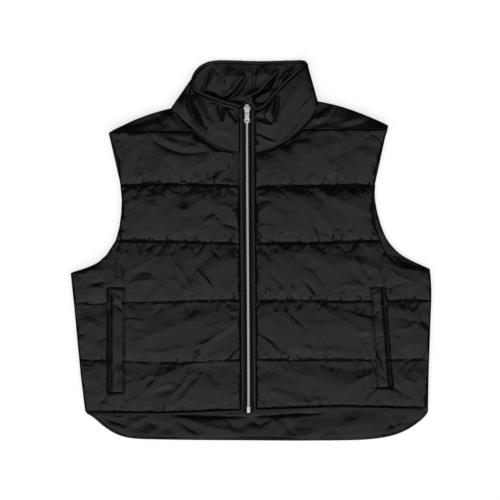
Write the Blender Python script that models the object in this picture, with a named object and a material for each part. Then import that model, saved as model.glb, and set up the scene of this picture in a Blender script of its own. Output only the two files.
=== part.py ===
"""Puffer vest laid flat on its back, zipped, collar up.

Frame: origin under the middle of the vest, +X to the viewer's right, +Y towards the collar, +Z up.
Tables and sizes are in millimetres; MM turns them into metres when a mesh is made.
"""
import math
from collections import namedtuple

import bmesh
import bpy
from mathutils import Vector

MM = 0.001
GAP = 0.3  # between pieces that touch

# Heights of the layers above the surface that the vest lies on.
BACK_TOP = 9.0
BACK_EDGE = 4.5
BACK_GROOVE = 2.5
FRONT_BASE = BACK_TOP + GAP
SEAM_WALL = 3.7
PUFF = 10.5
PUFF_REACH = 26.0
WELT_PRESS = 0.62  # the share of the puff that is left under a welt
FOLD_Z = (BACK_TOP + FRONT_BASE) / 2  # of the shoulder folds
HEM_TOP = 6.2  # of the drop hem at its rim
BACK_NECK_TOP = 6.0  # of the back at its neck seam
HEM_LIFT = 1.5  # of the drop hem's underside at its rim
WRAP_HEIGHTS = (15.4, 16.9, 17.5, 16.2, FRONT_BASE + SEAM_WALL + 0.4)  # from the fold to the forward seam
WRAP_THIN = 0.35  # the share of a wrap's height that is left at the armhole's tip

COLLAR_WALL = 4.6
COLLAR_PADDING = 2.4
COLLAR_BACK_Z = 3.4

ZIP_BOTTOM = -260.0
ZIP_TOP = 232.0
ZIP_LOW_Z = 12.3
ZIP_HIGH_Z = 17.0
ZIP_RISE_FROM = 130.0
CHAIN_HALF = 2.7
CHAIN_THICK = 2.4
TAPE_INNER = 3.0
TAPE_OUTER = 8.0
TAPE_THICK = 0.8
STRIP_PIECES = 24
CHAIN_LOW = ZIP_BOTTOM + 11.8
EDGE_OFFSET = 10.0
EDGE_RADIUS = 1.7
FRONT_OFFSET = 12.0
HEM_RADIUS = 2.3
HEM_PIECES = 12
RISE_PIECES = 26
EDGE_STARTS = {"left": -262.0, "right": 278.0}  # x of each rolled edge's outer end
COLLAR_EDGE_RADIUS = 2.3
WELT_THICK = 2.6
WELT_EDGE = 1.4

SLIDER_Y = 227.5
SLIDER_PLATE = 1.3
SLIDER_SLOT = 3.0
PULL_Y = 226.5
PULL_RISE = 2.7  # of the pull's axis over the centre of the chain and half the slider's slot
PULL_THICK = 1.4
PULL_TILT = math.radians(2.5)

# Quilt seams of the fronts, hem first: height at the side, in the middle and at the zip.
Quilt = namedtuple("Quilt", "side middle zip")
QUILT_LEFT = (
    Quilt(-258.6, -259.4, -254.6),
    Quilt(-175.2, -181.0, -175.2),
    Quilt(-85.9, -83.4, -79.2),
    Quilt(15.4, 14.0, 10.6),
    Quilt(103.7, 106.6, 103.7),
)
QUILT_RIGHT = (
    Quilt(-252.6, -248.8, -253.6),
    Quilt(-175.0, -175.6, -174.6),
    Quilt(-80.2, -82.1, -80.2),
    Quilt(15.4, 12.2, 10.6),
    Quilt(103.7, 103.7, 101.8),
)
QUILT_BACK = (-262.0, -177.0, -83.0, 13.0, 104.0)

# Sections across the fronts: height, outer edge, and the welt's outer and inner lines.
FrontSection = namedtuple("FrontSection", "y edge welt_out welt_in")
SECTIONS_LEFT = (
    FrontSection(-258.6, -265.6, -227.0, -204.5),
    FrontSection(-205.0, -272.3, -227.0, -204.5),
    FrontSection(-147.0, -278.0, -227.0, -204.5),
    FrontSection(-90.0, -283.3, -227.0, -204.5),
    FrontSection(-34.8, -289.2, -227.0, -204.5),
    FrontSection(-29.5, -263.5, -226.5, -204.5),
    FrontSection(-21.0, -247.5, -225.0, -204.0),
    FrontSection(-8.0, -232.3, -217.0, -200.0),
    FrontSection(17.0, -216.5, -205.0, -188.0),
    FrontSection(43.0, -209.7, -199.0, -182.0),
    FrontSection(75.0, -206.6, -197.0, -180.0),
    FrontSection(107.0, -209.8, -200.0, -182.0),
    FrontSection(145.0, -214.2, -202.0, -184.0),
    FrontSection(183.6, -226.6, -203.0, -185.0),
)
SECTIONS_RIGHT = (
    FrontSection(-253.0, 281.3, 227.0, 204.5),
    FrontSection(-218.7, 283.4, 224.0, 202.6),
    FrontSection(-147.0, 285.8, 218.2, 198.2),
    FrontSection(-90.0, 288.0, 213.8, 194.8),
    FrontSection(-60.0, 288.6, 211.4, 193.0),
    FrontSection(-31.8, 286.4, 211.0, 192.0),
    FrontSection(-27.0, 248.5, 210.0, 191.0),
    FrontSection(-15.0, 226.5, 208.0, 190.0),
    FrontSection(-2.0, 213.5, 203.0, 187.0),
    FrontSection(16.3, 207.5, 196.5, 180.0),
    FrontSection(43.5, 197.5, 187.0, 171.0),
    FrontSection(88.2, 194.6, 184.0, 168.0),
    FrontSection(132.4, 201.4, 190.0, 174.0),
    FrontSection(170.8, 211.1, 195.0, 178.0),
    FrontSection(194.0, 218.8, 196.0, 180.0),
)

# Sections across the back, above its hem.
BackSection = namedtuple("BackSection", "y left right")
SECTIONS_BACK = (
    BackSection(-205.0, -271.6, 283.6),
    BackSection(-147.0, -277.2, 285.4),
    BackSection(-90.0, -282.6, 288.2),
    BackSection(-60.0, -286.4, 289.0),
    BackSection(-34.6, -288.0, 286.6),
    BackSection(-26.0, -255.0, 285.9),
    BackSection(-20.5, -245.5, 266.0),
    BackSection(-8.0, -231.3, 240.0),
    BackSection(4.4, -221.8, 227.8),
    BackSection(17.0, -215.5, 217.5),
    BackSection(43.0, -208.7, 206.0),
    BackSection(75.0, -205.8, 198.2),
    BackSection(107.0, -209.0, 197.4),
    BackSection(145.0, -213.6, 203.0),
    BackSection(188.0, -227.6, 216.4),
)

# The back's drop hem, side to side.
HemPoint = namedtuple("HemPoint", "x y")
DROP_HEM = (
    HemPoint(-264.0, -261.0),
    HemPoint(-246.7, -268.6),
    HemPoint(-238.7, -279.8),
    HemPoint(-228.0, -290.4),
    HemPoint(-214.7, -297.6),
    HemPoint(-196.0, -302.0),
    HemPoint(-90.0, -303.4),
    HemPoint(78.0, -304.5),
    HemPoint(175.0, -303.8),
    HemPoint(222.0, -299.4),
    HemPoint(254.0, -288.4),
    HemPoint(272.6, -273.0),
    HemPoint(283.4, -259.6),
)

# Shoulder folds and back neck seam, from tip to tip.
TopPoint = namedtuple("TopPoint", "x y")
SHOULDER_TIPS = (TopPoint(-228.4, 188.5), TopPoint(219.0, 200.6))
NECK_CORNERS = (TopPoint(-129.0, 228.0), TopPoint(107.0, 239.5))
SHOULDER_LEFT = (
    SHOULDER_TIPS[0],
    TopPoint(-206.7, 201.4),
    TopPoint(-187.5, 209.4),
    TopPoint(-158.7, 220.4),
    NECK_CORNERS[0],
)
SHOULDER_RIGHT = (
    NECK_CORNERS[1],
    TopPoint(145.3, 231.6),
    TopPoint(177.3, 219.4),
    TopPoint(204.9, 208.2),
    SHOULDER_TIPS[1],
)
BACK_NECK = (
    NECK_CORNERS[0],
    TopPoint(-100.0, 224.3),
    TopPoint(-70.0, 221.5),
    TopPoint(-40.0, 220.0),
    TopPoint(-10.0, 220.0),
    TopPoint(20.0, 220.5),
    TopPoint(50.0, 223.5),
    TopPoint(80.0, 230.5),
    NECK_CORNERS[1],
)
# Front neck seams, from the zip to the shoulder fold; the forward shoulder seam meets them at the junction.
NECK_LEFT = (
    TopPoint(-18.6, 155.5),
    TopPoint(-28.0, 157.0),
    TopPoint(-51.4, 162.6),
    TopPoint(-75.8, 177.9),
    TopPoint(-93.0, 191.5),
    TopPoint(-110.6, 206.6),
    TopPoint(-121.0, 217.5),
    NECK_CORNERS[0],
)
NECK_RIGHT = (
    TopPoint(5.4, 155.5),
    TopPoint(15.0, 157.5),
    TopPoint(37.0, 164.0),
    TopPoint(62.0, 178.0),
    TopPoint(83.0, 194.5),
    TopPoint(97.5, 210.5),
    TopPoint(104.2, 223.5),
    NECK_CORNERS[1],
)
JUNCTION = 4  # index of the forward seam's end in both neck tables

# Forward shoulder seams, from the armhole to the junction: on the wraps the tip, on the fronts every column.
WRAP_SEAM_TIPS = {"left": TopPoint(-222.5, 190.4), "right": TopPoint(218.8, 194.5)}
FORWARD_SEAMS = {
    "left": (
        TopPoint(-228.2, 187.9),
        TopPoint(-222.2, 190.1),
        TopPoint(-214.0, 190.2),
        TopPoint(-203.0, 190.2),
        TopPoint(-185.0, 190.4),
        TopPoint(-155.0, 190.7),
        TopPoint(-124.0, 190.9),
    ),
    "right": (
        TopPoint(218.6, 194.2),
        TopPoint(214.0, 194.2),
        TopPoint(206.0, 194.2),
        TopPoint(196.0, 194.2),
        TopPoint(180.0, 194.2),
        TopPoint(150.0, 194.2),
        TopPoint(116.0, 194.2),
    ),
}

# The collar, round the neck from zip edge to zip edge: which neck point it starts from, its top edge, and
# the way its outside faces (90 up, 180 left, 270 down, 360 right).
CollarSection = namedtuple("CollarSection", "seam top_x top_y top_z turn")
COLLAR_SECTIONS = (
    CollarSection(NECK_LEFT[0], -18.7, 227.5, 17.0, 90.0),
    CollarSection(NECK_LEFT[1], -27.5, 231.6, 17.0, 90.0),
    CollarSection(NECK_LEFT[2], -43.2, 234.4, 17.2, 90.0),
    CollarSection(NECK_LEFT[3], -58.0, 240.4, 17.4, 90.0),
    CollarSection(NECK_LEFT[4], -75.0, 246.5, 17.4, 92.0),
    CollarSection(NECK_LEFT[5], -90.0, 253.5, 17.0, 100.0),
    CollarSection(NECK_LEFT[6], -97.0, 261.0, 15.5, 125.0),
    CollarSection(NECK_LEFT[7], -97.6, 273.0, 10.0, 160.0),
    CollarSection(TopPoint(-119.0, 226.7), -88.0, 286.0, 5.0, 240.0),
    CollarSection(BACK_NECK[1], -73.0, 296.6, 3.4, 270.0),
    CollarSection(BACK_NECK[2], -58.0, 300.0, 3.4, 270.0),
    CollarSection(BACK_NECK[3], -34.0, 299.6, 3.4, 270.0),
    CollarSection(BACK_NECK[4], -8.0, 298.6, 3.4, 270.0),
    CollarSection(BACK_NECK[5], 20.0, 298.0, 3.4, 270.0),
    CollarSection(BACK_NECK[6], 48.0, 299.0, 3.4, 270.0),
    CollarSection(BACK_NECK[7], 72.0, 299.6, 3.6, 270.0),
    CollarSection(TopPoint(98.0, 236.8), 84.6, 299.8, 5.0, 300.0),
    CollarSection(NECK_RIGHT[7], 90.4, 298.6, 9.0, 380.0),
    CollarSection(NECK_RIGHT[6], 86.4, 294.0, 13.6, 420.0),
    CollarSection(NECK_RIGHT[5], 74.0, 284.0, 15.4, 445.0),
    CollarSection(NECK_RIGHT[4], 58.0, 269.4, 16.4, 450.0),
    CollarSection(NECK_RIGHT[3], 43.0, 254.6, 17.0, 450.0),
    CollarSection(NECK_RIGHT[2], 31.0, 239.0, 17.4, 450.0),
    CollarSection(NECK_RIGHT[1], 20.0, 226.0, 17.2, 450.0),
    CollarSection(NECK_RIGHT[0], 6.0, 223.0, 17.0, 450.0),
)

# Fractions between one quilt seam and the next at which a section is taken.
BAY_STEPS = (0.0, 0.08, 0.25, 0.5, 0.75, 0.92)
ARMHOLE_STEPS = (0.0, 0.08, 0.27, 0.5, 0.56, 0.66, 0.78, 0.92)
YOKE_STEPS = (0.0, 0.09, 0.28, 0.5, 0.74, 0.92, 1.0)
HEM_STEPS = (0.0, 0.05, 0.12, 0.3, 0.6, 0.93)
BACK_YOKE_STEPS = (0.0, 0.07, 0.3, 0.6, 0.82, 0.94, 1.0)
ARMHOLE_FOOT = -35.0  # height that the armholes' lower ends lie at
# Columns of the back's grid over each shoulder, as fractions from tip to tip.
SHOULDER_SHARES_LEFT = (0.0, 0.018, 0.06, 0.11, 0.165)
SHOULDER_SHARES_RIGHT = (0.81, 0.87, 0.93, 0.982, 1.0)
WELT_COLUMNS = (3, 4)  # the columns of a front's grid that run along the welt's outer and inner lines
WELT_ENDS = {"left": (-226.4, -60.8), "right": (-218.7, -60.0)}
INNER_STEPS = (0.16, 0.35, 0.54, 0.66, 0.80, 0.94)  # from the welt's inner line to the zip edge

# The slider seen from above, and the pull along its length from the axis.
SliderOutline = namedtuple("SliderOutline", "y half")
SLIDER_OUTLINE = (
    SliderOutline(6.6, 1.6),
    SliderOutline(5.6, 2.65),
    SliderOutline(2.4, 4.2),
    SliderOutline(1.4, 6.1),
    SliderOutline(-0.6, 6.3),
    SliderOutline(-2.6, 5.0),
    SliderOutline(-6.5, 4.15),
)
PullSection = namedtuple("PullSection", "along half")
PULL_OUTLINE = (
    PullSection(-0.9, 3.6),
    PullSection(0.4, 4.1),
    PullSection(10.0, 4.1),
    PullSection(13.4, 3.75),
    PullSection(15.6, 4.2),
    PullSection(17.2, 5.1),
    PullSection(19.0, 5.35),
    PullSection(21.0, 4.7),
    PullSection(22.6, 3.0),
    PullSection(23.2, 1.2),
)
PULL_SLOT = (0.9, 9.6, 2.1)  # start, end and half width of the opening that the bridge goes through
PULL_RING = (19.2, 2.0, 3.25)  # centre, half length and half width of the hole in the ring end
RING_SIDES = 12

# Blocks of the fittings: width, length and height.
BOX_SIZE = (5.4, 11.2, 3.2)
BOX_ROUND = 0.5
POST_SIZE = (1.8, 3.2, SLIDER_SLOT + SLIDER_PLATE)
POST_FORWARD = 4.1  # from the slider's centre towards its crown
FOOT_SIZE = (3.0, 1.3, 4.0)
FOOT_APART = 2.95  # half the distance between the bridge's feet
FOOT_RISE = 1.4
SPAN_SIZE = (3.0, 7.2, 1.2)
SPAN_RISE = 3.2


def clear_scene():
    for item in list(bpy.data.objects):
        bpy.data.objects.remove(item, do_unlink=True)


def new_collection(name):
    collection = bpy.data.collections.new(name)
    bpy.context.scene.collection.children.link(collection)
    return collection


def new_material(name, colour, roughness, metallic=0.0):
    material = bpy.data.materials.new(name)
    material.use_nodes = True
    shader = material.node_tree.nodes["Principled BSDF"]
    shader.inputs["Base Color"].default_value = (*colour, 1.0)
    shader.inputs["Roughness"].default_value = roughness
    shader.inputs["Metallic"].default_value = metallic
    material.diffuse_color = (*colour, 1.0)
    return material


def link(name, mesh, material):
    """Put a mesh in the vest's collection as a named object with its material."""
    piece = bpy.data.objects.new(name, mesh)
    VEST.objects.link(piece)
    mesh.materials.append(material)
    return piece


def mix(a, b, t):
    return a + (b - a) * t


def ease(t):
    return t * t * (3.0 - 2.0 * t)


def read(table, column, y):
    """The value of a table's column at height y, straight between its rows."""
    rows = [(row.y, getattr(row, column)) for row in table]
    for (y0, v0), (y1, v1) in zip(rows, rows[1:]):
        if y <= y1:
            return mix(v0, v1, max(0.0, (y - y0) / (y1 - y0)))
    return rows[-1][1]


def across(points, x):
    """The height of a line of points at x, straight between them."""
    for a, b in zip(points, points[1:]):
        if x <= b.x:
            return mix(a.y, b.y, max(0.0, (x - a.x) / (b.x - a.x)))
    return points[-1].y


def zip_x(y):
    """The zip's centre line drifts a little between hem and collar."""
    return mix(-4.2, -6.7, ease((y - ZIP_BOTTOM) / (ZIP_TOP - ZIP_BOTTOM)))


def zip_z(y):
    """The zip lies level on the body and climbs with the collar."""
    t = (y - ZIP_RISE_FROM) / (ZIP_TOP - ZIP_RISE_FROM)
    return mix(ZIP_LOW_Z, ZIP_HIGH_Z, ease(min(1.0, max(0.0, t))))


def loft(name, outer, inner, material):
    """Close two matching grids of points into one solid. A grid may leave places empty with None."""
    mesh = bpy.data.meshes.new(name)
    build = bmesh.new()
    skins = []
    for grid in (outer, inner):
        skins.append([[p and build.verts.new(Vector(p) * MM) for p in row] for row in grid])
    top, bottom = skins
    uses = {}
    for i in range(len(top) - 1):
        for j in range(len(top[0]) - 1):
            ring = ((i, j), (i, j + 1), (i + 1, j + 1), (i + 1, j))
            if any(top[r][c] is None for r, c in ring):
                continue
            build.faces.new([top[r][c] for r, c in ring])
            build.faces.new([bottom[r][c] for r, c in reversed(ring)])
            for a, b in zip(ring, ring[1:] + ring[:1]):
                uses[(a, b)] = True
    for a, b in uses:
        if (b, a) not in uses:
            build.faces.new([top[b[0]][b[1]], top[a[0]][a[1]], bottom[a[0]][a[1]], bottom[b[0]][b[1]]])
    loose = [v for v in build.verts if not v.link_faces]
    bmesh.ops.delete(build, geom=loose, context="VERTS")
    bmesh.ops.triangulate(build, faces=build.faces[:])
    bmesh.ops.recalc_face_normals(build, faces=build.faces[:])
    build.to_mesh(mesh)
    build.free()
    mesh.shade_smooth()
    mesh.set_sharp_from_angle(angle=math.radians(50))
    link(name, mesh, material)


def tube(name, points, radii, material):
    """A rolled edge: a round curve through points, with a radius at each."""
    data = bpy.data.curves.new(name, "CURVE")
    data.dimensions = "3D"
    data.bevel_depth = MM
    data.bevel_resolution = 2
    data.use_fill_caps = True
    spline = data.splines.new("POLY")
    spline.points.add(len(points) - 1)
    for knot, place, radius in zip(spline.points, points, radii):
        knot.co = (*(Vector(place) * MM), 1.0)
        knot.radius = radius
    piece = bpy.data.objects.new(name, data)
    VEST.objects.link(piece)
    data.materials.append(material)


def outline_mesh(name, outlines, thickness):
    """A flat plate cut to one outline, with the outlines after it as holes, as a mesh about z = 0."""
    data = bpy.data.curves.new(name, "CURVE")
    data.dimensions = "2D"
    data.fill_mode = "BOTH"
    data.extrude = thickness / 2 * MM
    for outline in outlines:
        spline = data.splines.new("POLY")
        spline.points.add(len(outline) - 1)
        spline.use_cyclic_u = True
        for knot, (x, y) in zip(spline.points, outline):
            knot.co = (x * MM, y * MM, 0.0, 1.0)
    carrier = bpy.data.objects.new(name + "_outline", data)
    bpy.context.scene.collection.objects.link(carrier)
    flat = bpy.data.meshes.new_from_object(carrier.evaluated_get(bpy.context.evaluated_depsgraph_get()))
    bpy.data.objects.remove(carrier, do_unlink=True)
    weld = bmesh.new()
    weld.from_mesh(flat)
    bmesh.ops.remove_doubles(weld, verts=weld.verts[:], dist=0.00001)
    bmesh.ops.recalc_face_normals(weld, faces=weld.faces[:])
    weld.to_mesh(flat)
    weld.free()
    flat.name = name
    return flat


def join_cutter(target, mesh, name, place):
    """Join a closed mesh to a piece with a Boolean union."""
    cutter = bpy.data.objects.new(name, mesh)
    CUTTERS.objects.link(cutter)
    cutter.location = Vector(place) * MM
    cutter.hide_render = True
    cutter.display_type = "WIRE"
    union = target.modifiers.new(name, "BOOLEAN")
    union.operation = "UNION"
    union.solver = "EXACT"
    union.object = cutter


def box_mesh(name, size, bevel=0.0):
    """A box about its centre, its edges rounded by bevel."""
    mesh = bpy.data.meshes.new(name)
    build = bmesh.new()
    bmesh.ops.create_cube(build, size=1.0)
    bmesh.ops.scale(build, vec=Vector(size) * MM, verts=build.verts[:])
    if bevel:
        bmesh.ops.bevel(build, geom=build.edges[:], offset=bevel * MM, segments=2, profile=0.5,
                        affect="EDGES")
    build.to_mesh(mesh)
    build.free()
    return mesh


# ---- back panel --------------------------------------------------------------------------------------------

def tip_share(x):
    """How far x lies from the left shoulder's tip to the right one's, from 0 to 1."""
    return (x - SHOULDER_TIPS[0].x) / (SHOULDER_TIPS[1].x - SHOULDER_TIPS[0].x)


def back_rows():
    """Rows of (points, fraction of the bay, kind) from the drop hem to the shoulder folds and neck."""
    steps = SHOULDER_SHARES_LEFT + tuple(tip_share(point.x) for point in BACK_NECK) + SHOULDER_SHARES_RIGHT
    top_line = SHOULDER_LEFT[:-1] + BACK_NECK + SHOULDER_RIGHT[1:]
    top_xs = [mix(SHOULDER_TIPS[0].x, SHOULDER_TIPS[1].x, u) for u in steps]
    top = [(x, across(top_line, x)) for x in top_xs]
    hem_xs = [mix(DROP_HEM[0].x, DROP_HEM[-1].x, u) for u in steps]
    low = [(x, across(DROP_HEM, x)) for x in hem_xs]

    def level(y):
        left = read(SECTIONS_BACK, "left", y)
        right = read(SECTIONS_BACK, "right", y)
        return [(mix(left, right, u), y) for u in steps]

    def between(row_a, row_b, t):
        return [(mix(a[0], b[0], t), mix(a[1], b[1], t)) for a, b in zip(row_a, row_b)]

    rows = []
    first = level(QUILT_BACK[1])
    for f in HEM_STEPS:
        rows.append((between(low, first, f), f, "hem"))
    for y0, y1 in zip(QUILT_BACK[1:], QUILT_BACK[2:]):
        steps_here = ARMHOLE_STEPS if y0 < ARMHOLE_FOOT < y1 else BAY_STEPS
        for f in steps_here:
            rows.append((level(mix(y0, y1, f)), f, "bay"))
    yoke = level(QUILT_BACK[-1])
    for f in BACK_YOKE_STEPS:
        rows.append((between(yoke, top, f), f, "yoke"))
    return rows


def neck_run(neck):
    """The neck seam's points from the shoulder fold to the junction, and the lengths between them."""
    path = neck[:JUNCTION - 1:-1]
    return path, [math.dist(a, b) for a, b in zip(path, path[1:])]


def neck_steps(neck):
    """Fractions along a neck seam, from the shoulder fold to the junction, that a wrap has its rows at."""
    lengths = neck_run(neck)[1]
    first, second = lengths[0] / sum(lengths), (lengths[0] + lengths[1]) / sum(lengths)
    return (first * 0.4, first, second, (second + 1.0) / 2.0, 1.0)


def neck_bow(neck, w):
    """How far the neck seam stands off the straight line from its shoulder fold to the junction, at w."""
    path, lengths = neck_run(neck)
    left = w * sum(lengths)
    for a, b, length in zip(path, path[1:], lengths):
        if left <= length + 1e-6:
            break
        left -= length
    t = left / length
    chord = (mix(path[0].x, path[-1].x, w), mix(path[0].y, path[-1].y, w))
    return mix(a.x, b.x, t) - chord[0], mix(a.y, b.y, t) - chord[1]


def make_back():
    """Quilted back: flat underside with stitched grooves, drop hem, and a wrap over each shoulder fold."""
    rows = back_rows()
    columns = len(rows[0][0])
    left_corner = len(SHOULDER_SHARES_LEFT)
    right_corner = columns - 1 - len(SHOULDER_SHARES_RIGHT)
    outer, inner = [], []
    for points, f, kind in rows:
        under, over = [], []
        for j, (x, y) in enumerate(points):
            rim = min(j, columns - 1 - j)
            low = (BACK_EDGE, 0.8, 0.0)[min(rim, 2)]
            high = BACK_TOP
            if kind != "hem" and f == 0.0:
                low = max(low, BACK_GROOVE)
            if kind == "hem":
                low = max(low, HEM_LIFT if f == 0.0 else 0.0)
                high = mix(HEM_TOP, BACK_TOP, ease(min(1.0, f / 0.3)))
            if kind == "yoke" and left_corner < j < right_corner:
                high = mix(BACK_TOP, BACK_NECK_TOP, ease(max(0.0, (f - 0.6) / 0.4)))
                low = 0.3 if f == 1.0 else low
            if kind == "yoke" and not left_corner < j < right_corner:
                low = {0.94: max(low, 0.8), 1.0: FOLD_Z}.get(f, low)
                high = FOLD_Z if f == 1.0 else BACK_TOP
            under.append((x, y, low))
            over.append((x, y, high))
        outer.append(under)
        inner.append(over)

    # The wraps carry on from the top row: over the fold and down to the forward shoulder seam.
    top = rows[-1][0]
    outer += [[None] * columns for _ in WRAP_HEIGHTS]
    inner += [[None] * columns for _ in WRAP_HEIGHTS]
    body_rows = len(rows)
    for j, (x, y) in enumerate(top):
        if left_corner < j < right_corner:
            continue
        side, neck = ("left", NECK_LEFT) if j <= left_corner else ("right", NECK_RIGHT)
        tip_seam = WRAP_SEAM_TIPS[side]
        corner, junction = neck[-1], neck[JUNCTION]
        t = max(0.0, (x - tip_seam.x) / (corner.x - tip_seam.x))
        seam_x = mix(tip_seam.x, junction.x, t)
        seam_y = mix(tip_seam.y, junction.y, t)
        width = y - seam_y
        if width < 1.5:
            continue
        steps = neck_steps(neck)
        inner[body_rows - 1][j] = (x, y - steps[0] * width, FOLD_Z)
        for k, (w, height) in enumerate(zip(steps, WRAP_HEIGHTS)):
            rise = min(1.0, (width + 6.0) / 18.0)
            bow_x, bow_y = neck_bow(neck, w)
            place = (mix(x, seam_x, w) + bow_x * t * t, mix(y, seam_y, w) + bow_y * t * t)
            z = FRONT_BASE + (height - FRONT_BASE) * mix(WRAP_THIN, 1.0, rise) if w < 1.0 else height
            outer[body_rows + k][j] = (*place, z)
            inner[body_rows + k][j] = (*place, FRONT_BASE)
    loft("back_panel", outer, inner, SHELL)


# ---- fronts ------------------------------------------------------------------------------------------------

def front_grid(side):
    """Rows of (x, y, height) over one front, from its hem to the forward shoulder seam and the neck seam."""
    left = side == "left"
    sections = SECTIONS_LEFT if left else SECTIONS_RIGHT
    quilts = QUILT_LEFT if left else QUILT_RIGHT
    neck = NECK_LEFT if left else NECK_RIGHT
    sign = -1.0 if left else 1.0

    def zip_edge(y):
        return zip_x(y) + sign * FRONT_OFFSET

    def section(y_side, y_middle, y_zip):
        edge = read(sections, "edge", y_side)
        welt_out = read(sections, "welt_out", mix(y_side, y_middle, 0.4))
        welt_in = read(sections, "welt_in", mix(y_side, y_middle, 0.6))
        end = zip_edge(y_zip)
        room = abs(edge - welt_out)
        xs = [edge, edge - sign * min(10.0, room * 0.4), mix(edge, welt_out, 0.62), welt_out, welt_in]
        xs += [mix(welt_in, end, t) for t in INNER_STEPS] + [end]
        row = []
        for x in xs:
            t = (x - edge) / (end - edge)
            y = mix(y_side, y_middle, t * 2) if t < 0.5 else mix(y_middle, y_zip, t * 2 - 1)
            row.append((x, y))
        return row

    slack = GAP + 0.1
    seam = [(p.x + sign * 0.5 * slack, p.y - slack) for p in reversed(neck[1:JUNCTION + 1])]
    top = [tuple(p) for p in FORWARD_SEAMS[side]] + seam
    top += [(zip_edge(neck[0].y), neck[0].y - slack)]

    rows = []
    for low, high in zip(quilts, quilts[1:]):
        steps = ARMHOLE_STEPS if low.side < ARMHOLE_FOOT < high.side else BAY_STEPS
        for f in steps:
            sides = [mix(a, b, f) for a, b in zip(low, high)]
            rows.append((section(*sides), f))
    yoke = section(*quilts[-1])
    for f in YOKE_STEPS:
        row = [(mix(a[0], b[0], f), mix(a[1], b[1], f)) for a, b in zip(yoke, top)]
        y_side = row[0][1]
        row[0] = (read(sections, "edge", y_side) if f < 1.0 else top[0][0], y_side)
        rows.append((row, f))

    grid = []
    for row, f in rows:
        edge, end = row[0][0], row[-1][0]
        line = []
        for column, (x, y) in enumerate(row):
            reach = min(abs(x - edge), abs(x - end)) / PUFF_REACH
            puff = PUFF * math.sin(math.pi / 2 * min(1.0, reach)) ** 0.7
            puff *= math.sin(math.pi * f) ** 0.55 if 0.0 < f < 1.0 else 0.0
            if column in WELT_COLUMNS and WELT_ENDS[side][0] < y < WELT_ENDS[side][1]:
                puff *= WELT_PRESS
            line.append((x, y, FRONT_BASE + SEAM_WALL + puff))
        grid.append(line)
    return grid


def make_front(side):
    top = front_grid(side)
    bottom = [[(x, y, FRONT_BASE) for x, y, _ in row] for row in top]
    loft("front_" + side, top, bottom, SHELL)
    return top


def make_welt(side, front):
    """A pocket welt: the front's own skin between its two welt columns, moved out."""
    y_low, y_high = WELT_ENDS[side]
    column_out, column_in = WELT_COLUMNS

    def at(column, y):
        line = [row[column] for row in front]
        for a, b in zip(line, line[1:]):
            if a[1] <= y <= b[1]:
                t = (y - a[1]) / (b[1] - a[1])
                return tuple(mix(p, q, t) for p, q in zip(a, b))
        return line[-1]

    crossed = [row[column_out][1] for row in front if y_low < row[column_out][1] < y_high]
    heights = sorted({y_low, y_high, *crossed})
    bottom, top = [], []
    for y in heights:
        pair = (at(column_out, y), at(column_in, y))
        span = [tuple(mix(p, q, t) for p, q in zip(*pair)) for t in (0.0, 0.5, 1.0)]
        bottom.append([(p[0], p[1], p[2] + 2.0 * GAP) for p in span])
        thicks = (WELT_EDGE, WELT_THICK, WELT_EDGE)
        top.append([(p[0], p[1], p[2] + 2.0 * GAP + thick) for p, thick in zip(span, thicks)])
    loft("welt_" + side, top, bottom, SHELL)


# ---- collar ------------------------------------------------------------------------------------------------

def collar_seam_z(section):
    """Height of the collar's middle at the neck seam: on the fronts, round the folds, or on the back."""
    front = FRONT_BASE + 3.4
    share = (1.0 + math.sin(math.radians(section.turn))) / 2.0
    return mix(COLLAR_BACK_Z, front, share ** 0.7)


def collar_point(section, v):
    """Outer and inner points of the collar's wall at v, 0 on the neck seam and 1 on the top edge."""
    turn = math.radians(section.turn)
    facing = Vector((math.cos(turn), 0.0, math.sin(turn)))
    seam = Vector((section.seam.x, section.seam.y, collar_seam_z(section)))
    top = Vector((section.top_x, section.top_y, section.top_z))
    lift = (top - seam)
    lift.z = 0.0
    seam += lift.normalized() * (GAP + 0.2)
    middle = seam.lerp(top, v)
    middle.z = mix(seam.z, top.z, ease(v))
    up = max(0.0, facing.z)
    plump = COLLAR_PADDING * math.sin(math.pi * v)
    outer = Vector((middle.x, middle.y, middle.z + facing.z * COLLAR_WALL / 2 + up * plump * 1.6))
    inner = Vector((middle.x - facing.x * COLLAR_WALL, middle.y, middle.z - facing.z * COLLAR_WALL / 2))
    if facing.z < 0.0:
        inner.z += plump * -facing.z * 0.5
    return outer, inner


def make_collar():
    """One padded band round the neck, the front half lying over the back half."""
    steps = (0.0, 0.15, 0.4, 0.65, 0.88, 1.0)
    outer, inner = [], []
    for section in COLLAR_SECTIONS:
        pairs = [collar_point(section, v) for v in steps]
        outer.append([tuple(pair[0]) for pair in pairs])
        inner.append([tuple(pair[1]) for pair in pairs])
    loft("collar", outer, inner, SHELL)


def make_collar_edge():
    """The rolled edge just beyond the collar's top, from zip to zip."""
    rims = [sum(collar_point(section, 1.0), Vector()) / 2.0 for section in COLLAR_SECTIONS]
    points = []
    for k, section in enumerate(COLLAR_SECTIONS):
        run = rims[min(k + 1, len(rims) - 1)] - rims[max(k - 1, 0)]
        turn = math.radians(section.turn)
        beyond = run.cross(Vector((math.cos(turn), 0.0, math.sin(turn)))).normalized()
        seam = Vector((section.seam.x, section.seam.y, rims[k].z))
        if beyond.dot(rims[k] - seam) < 0.0:
            beyond.negate()
        points.append(rims[k] + beyond * (COLLAR_EDGE_RADIUS + GAP + 0.2))
    tube("collar_edge", points, [COLLAR_EDGE_RADIUS] * len(points), SHELL)


# ---- rolled edges of the fronts ----------------------------------------------------------------------------

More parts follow.
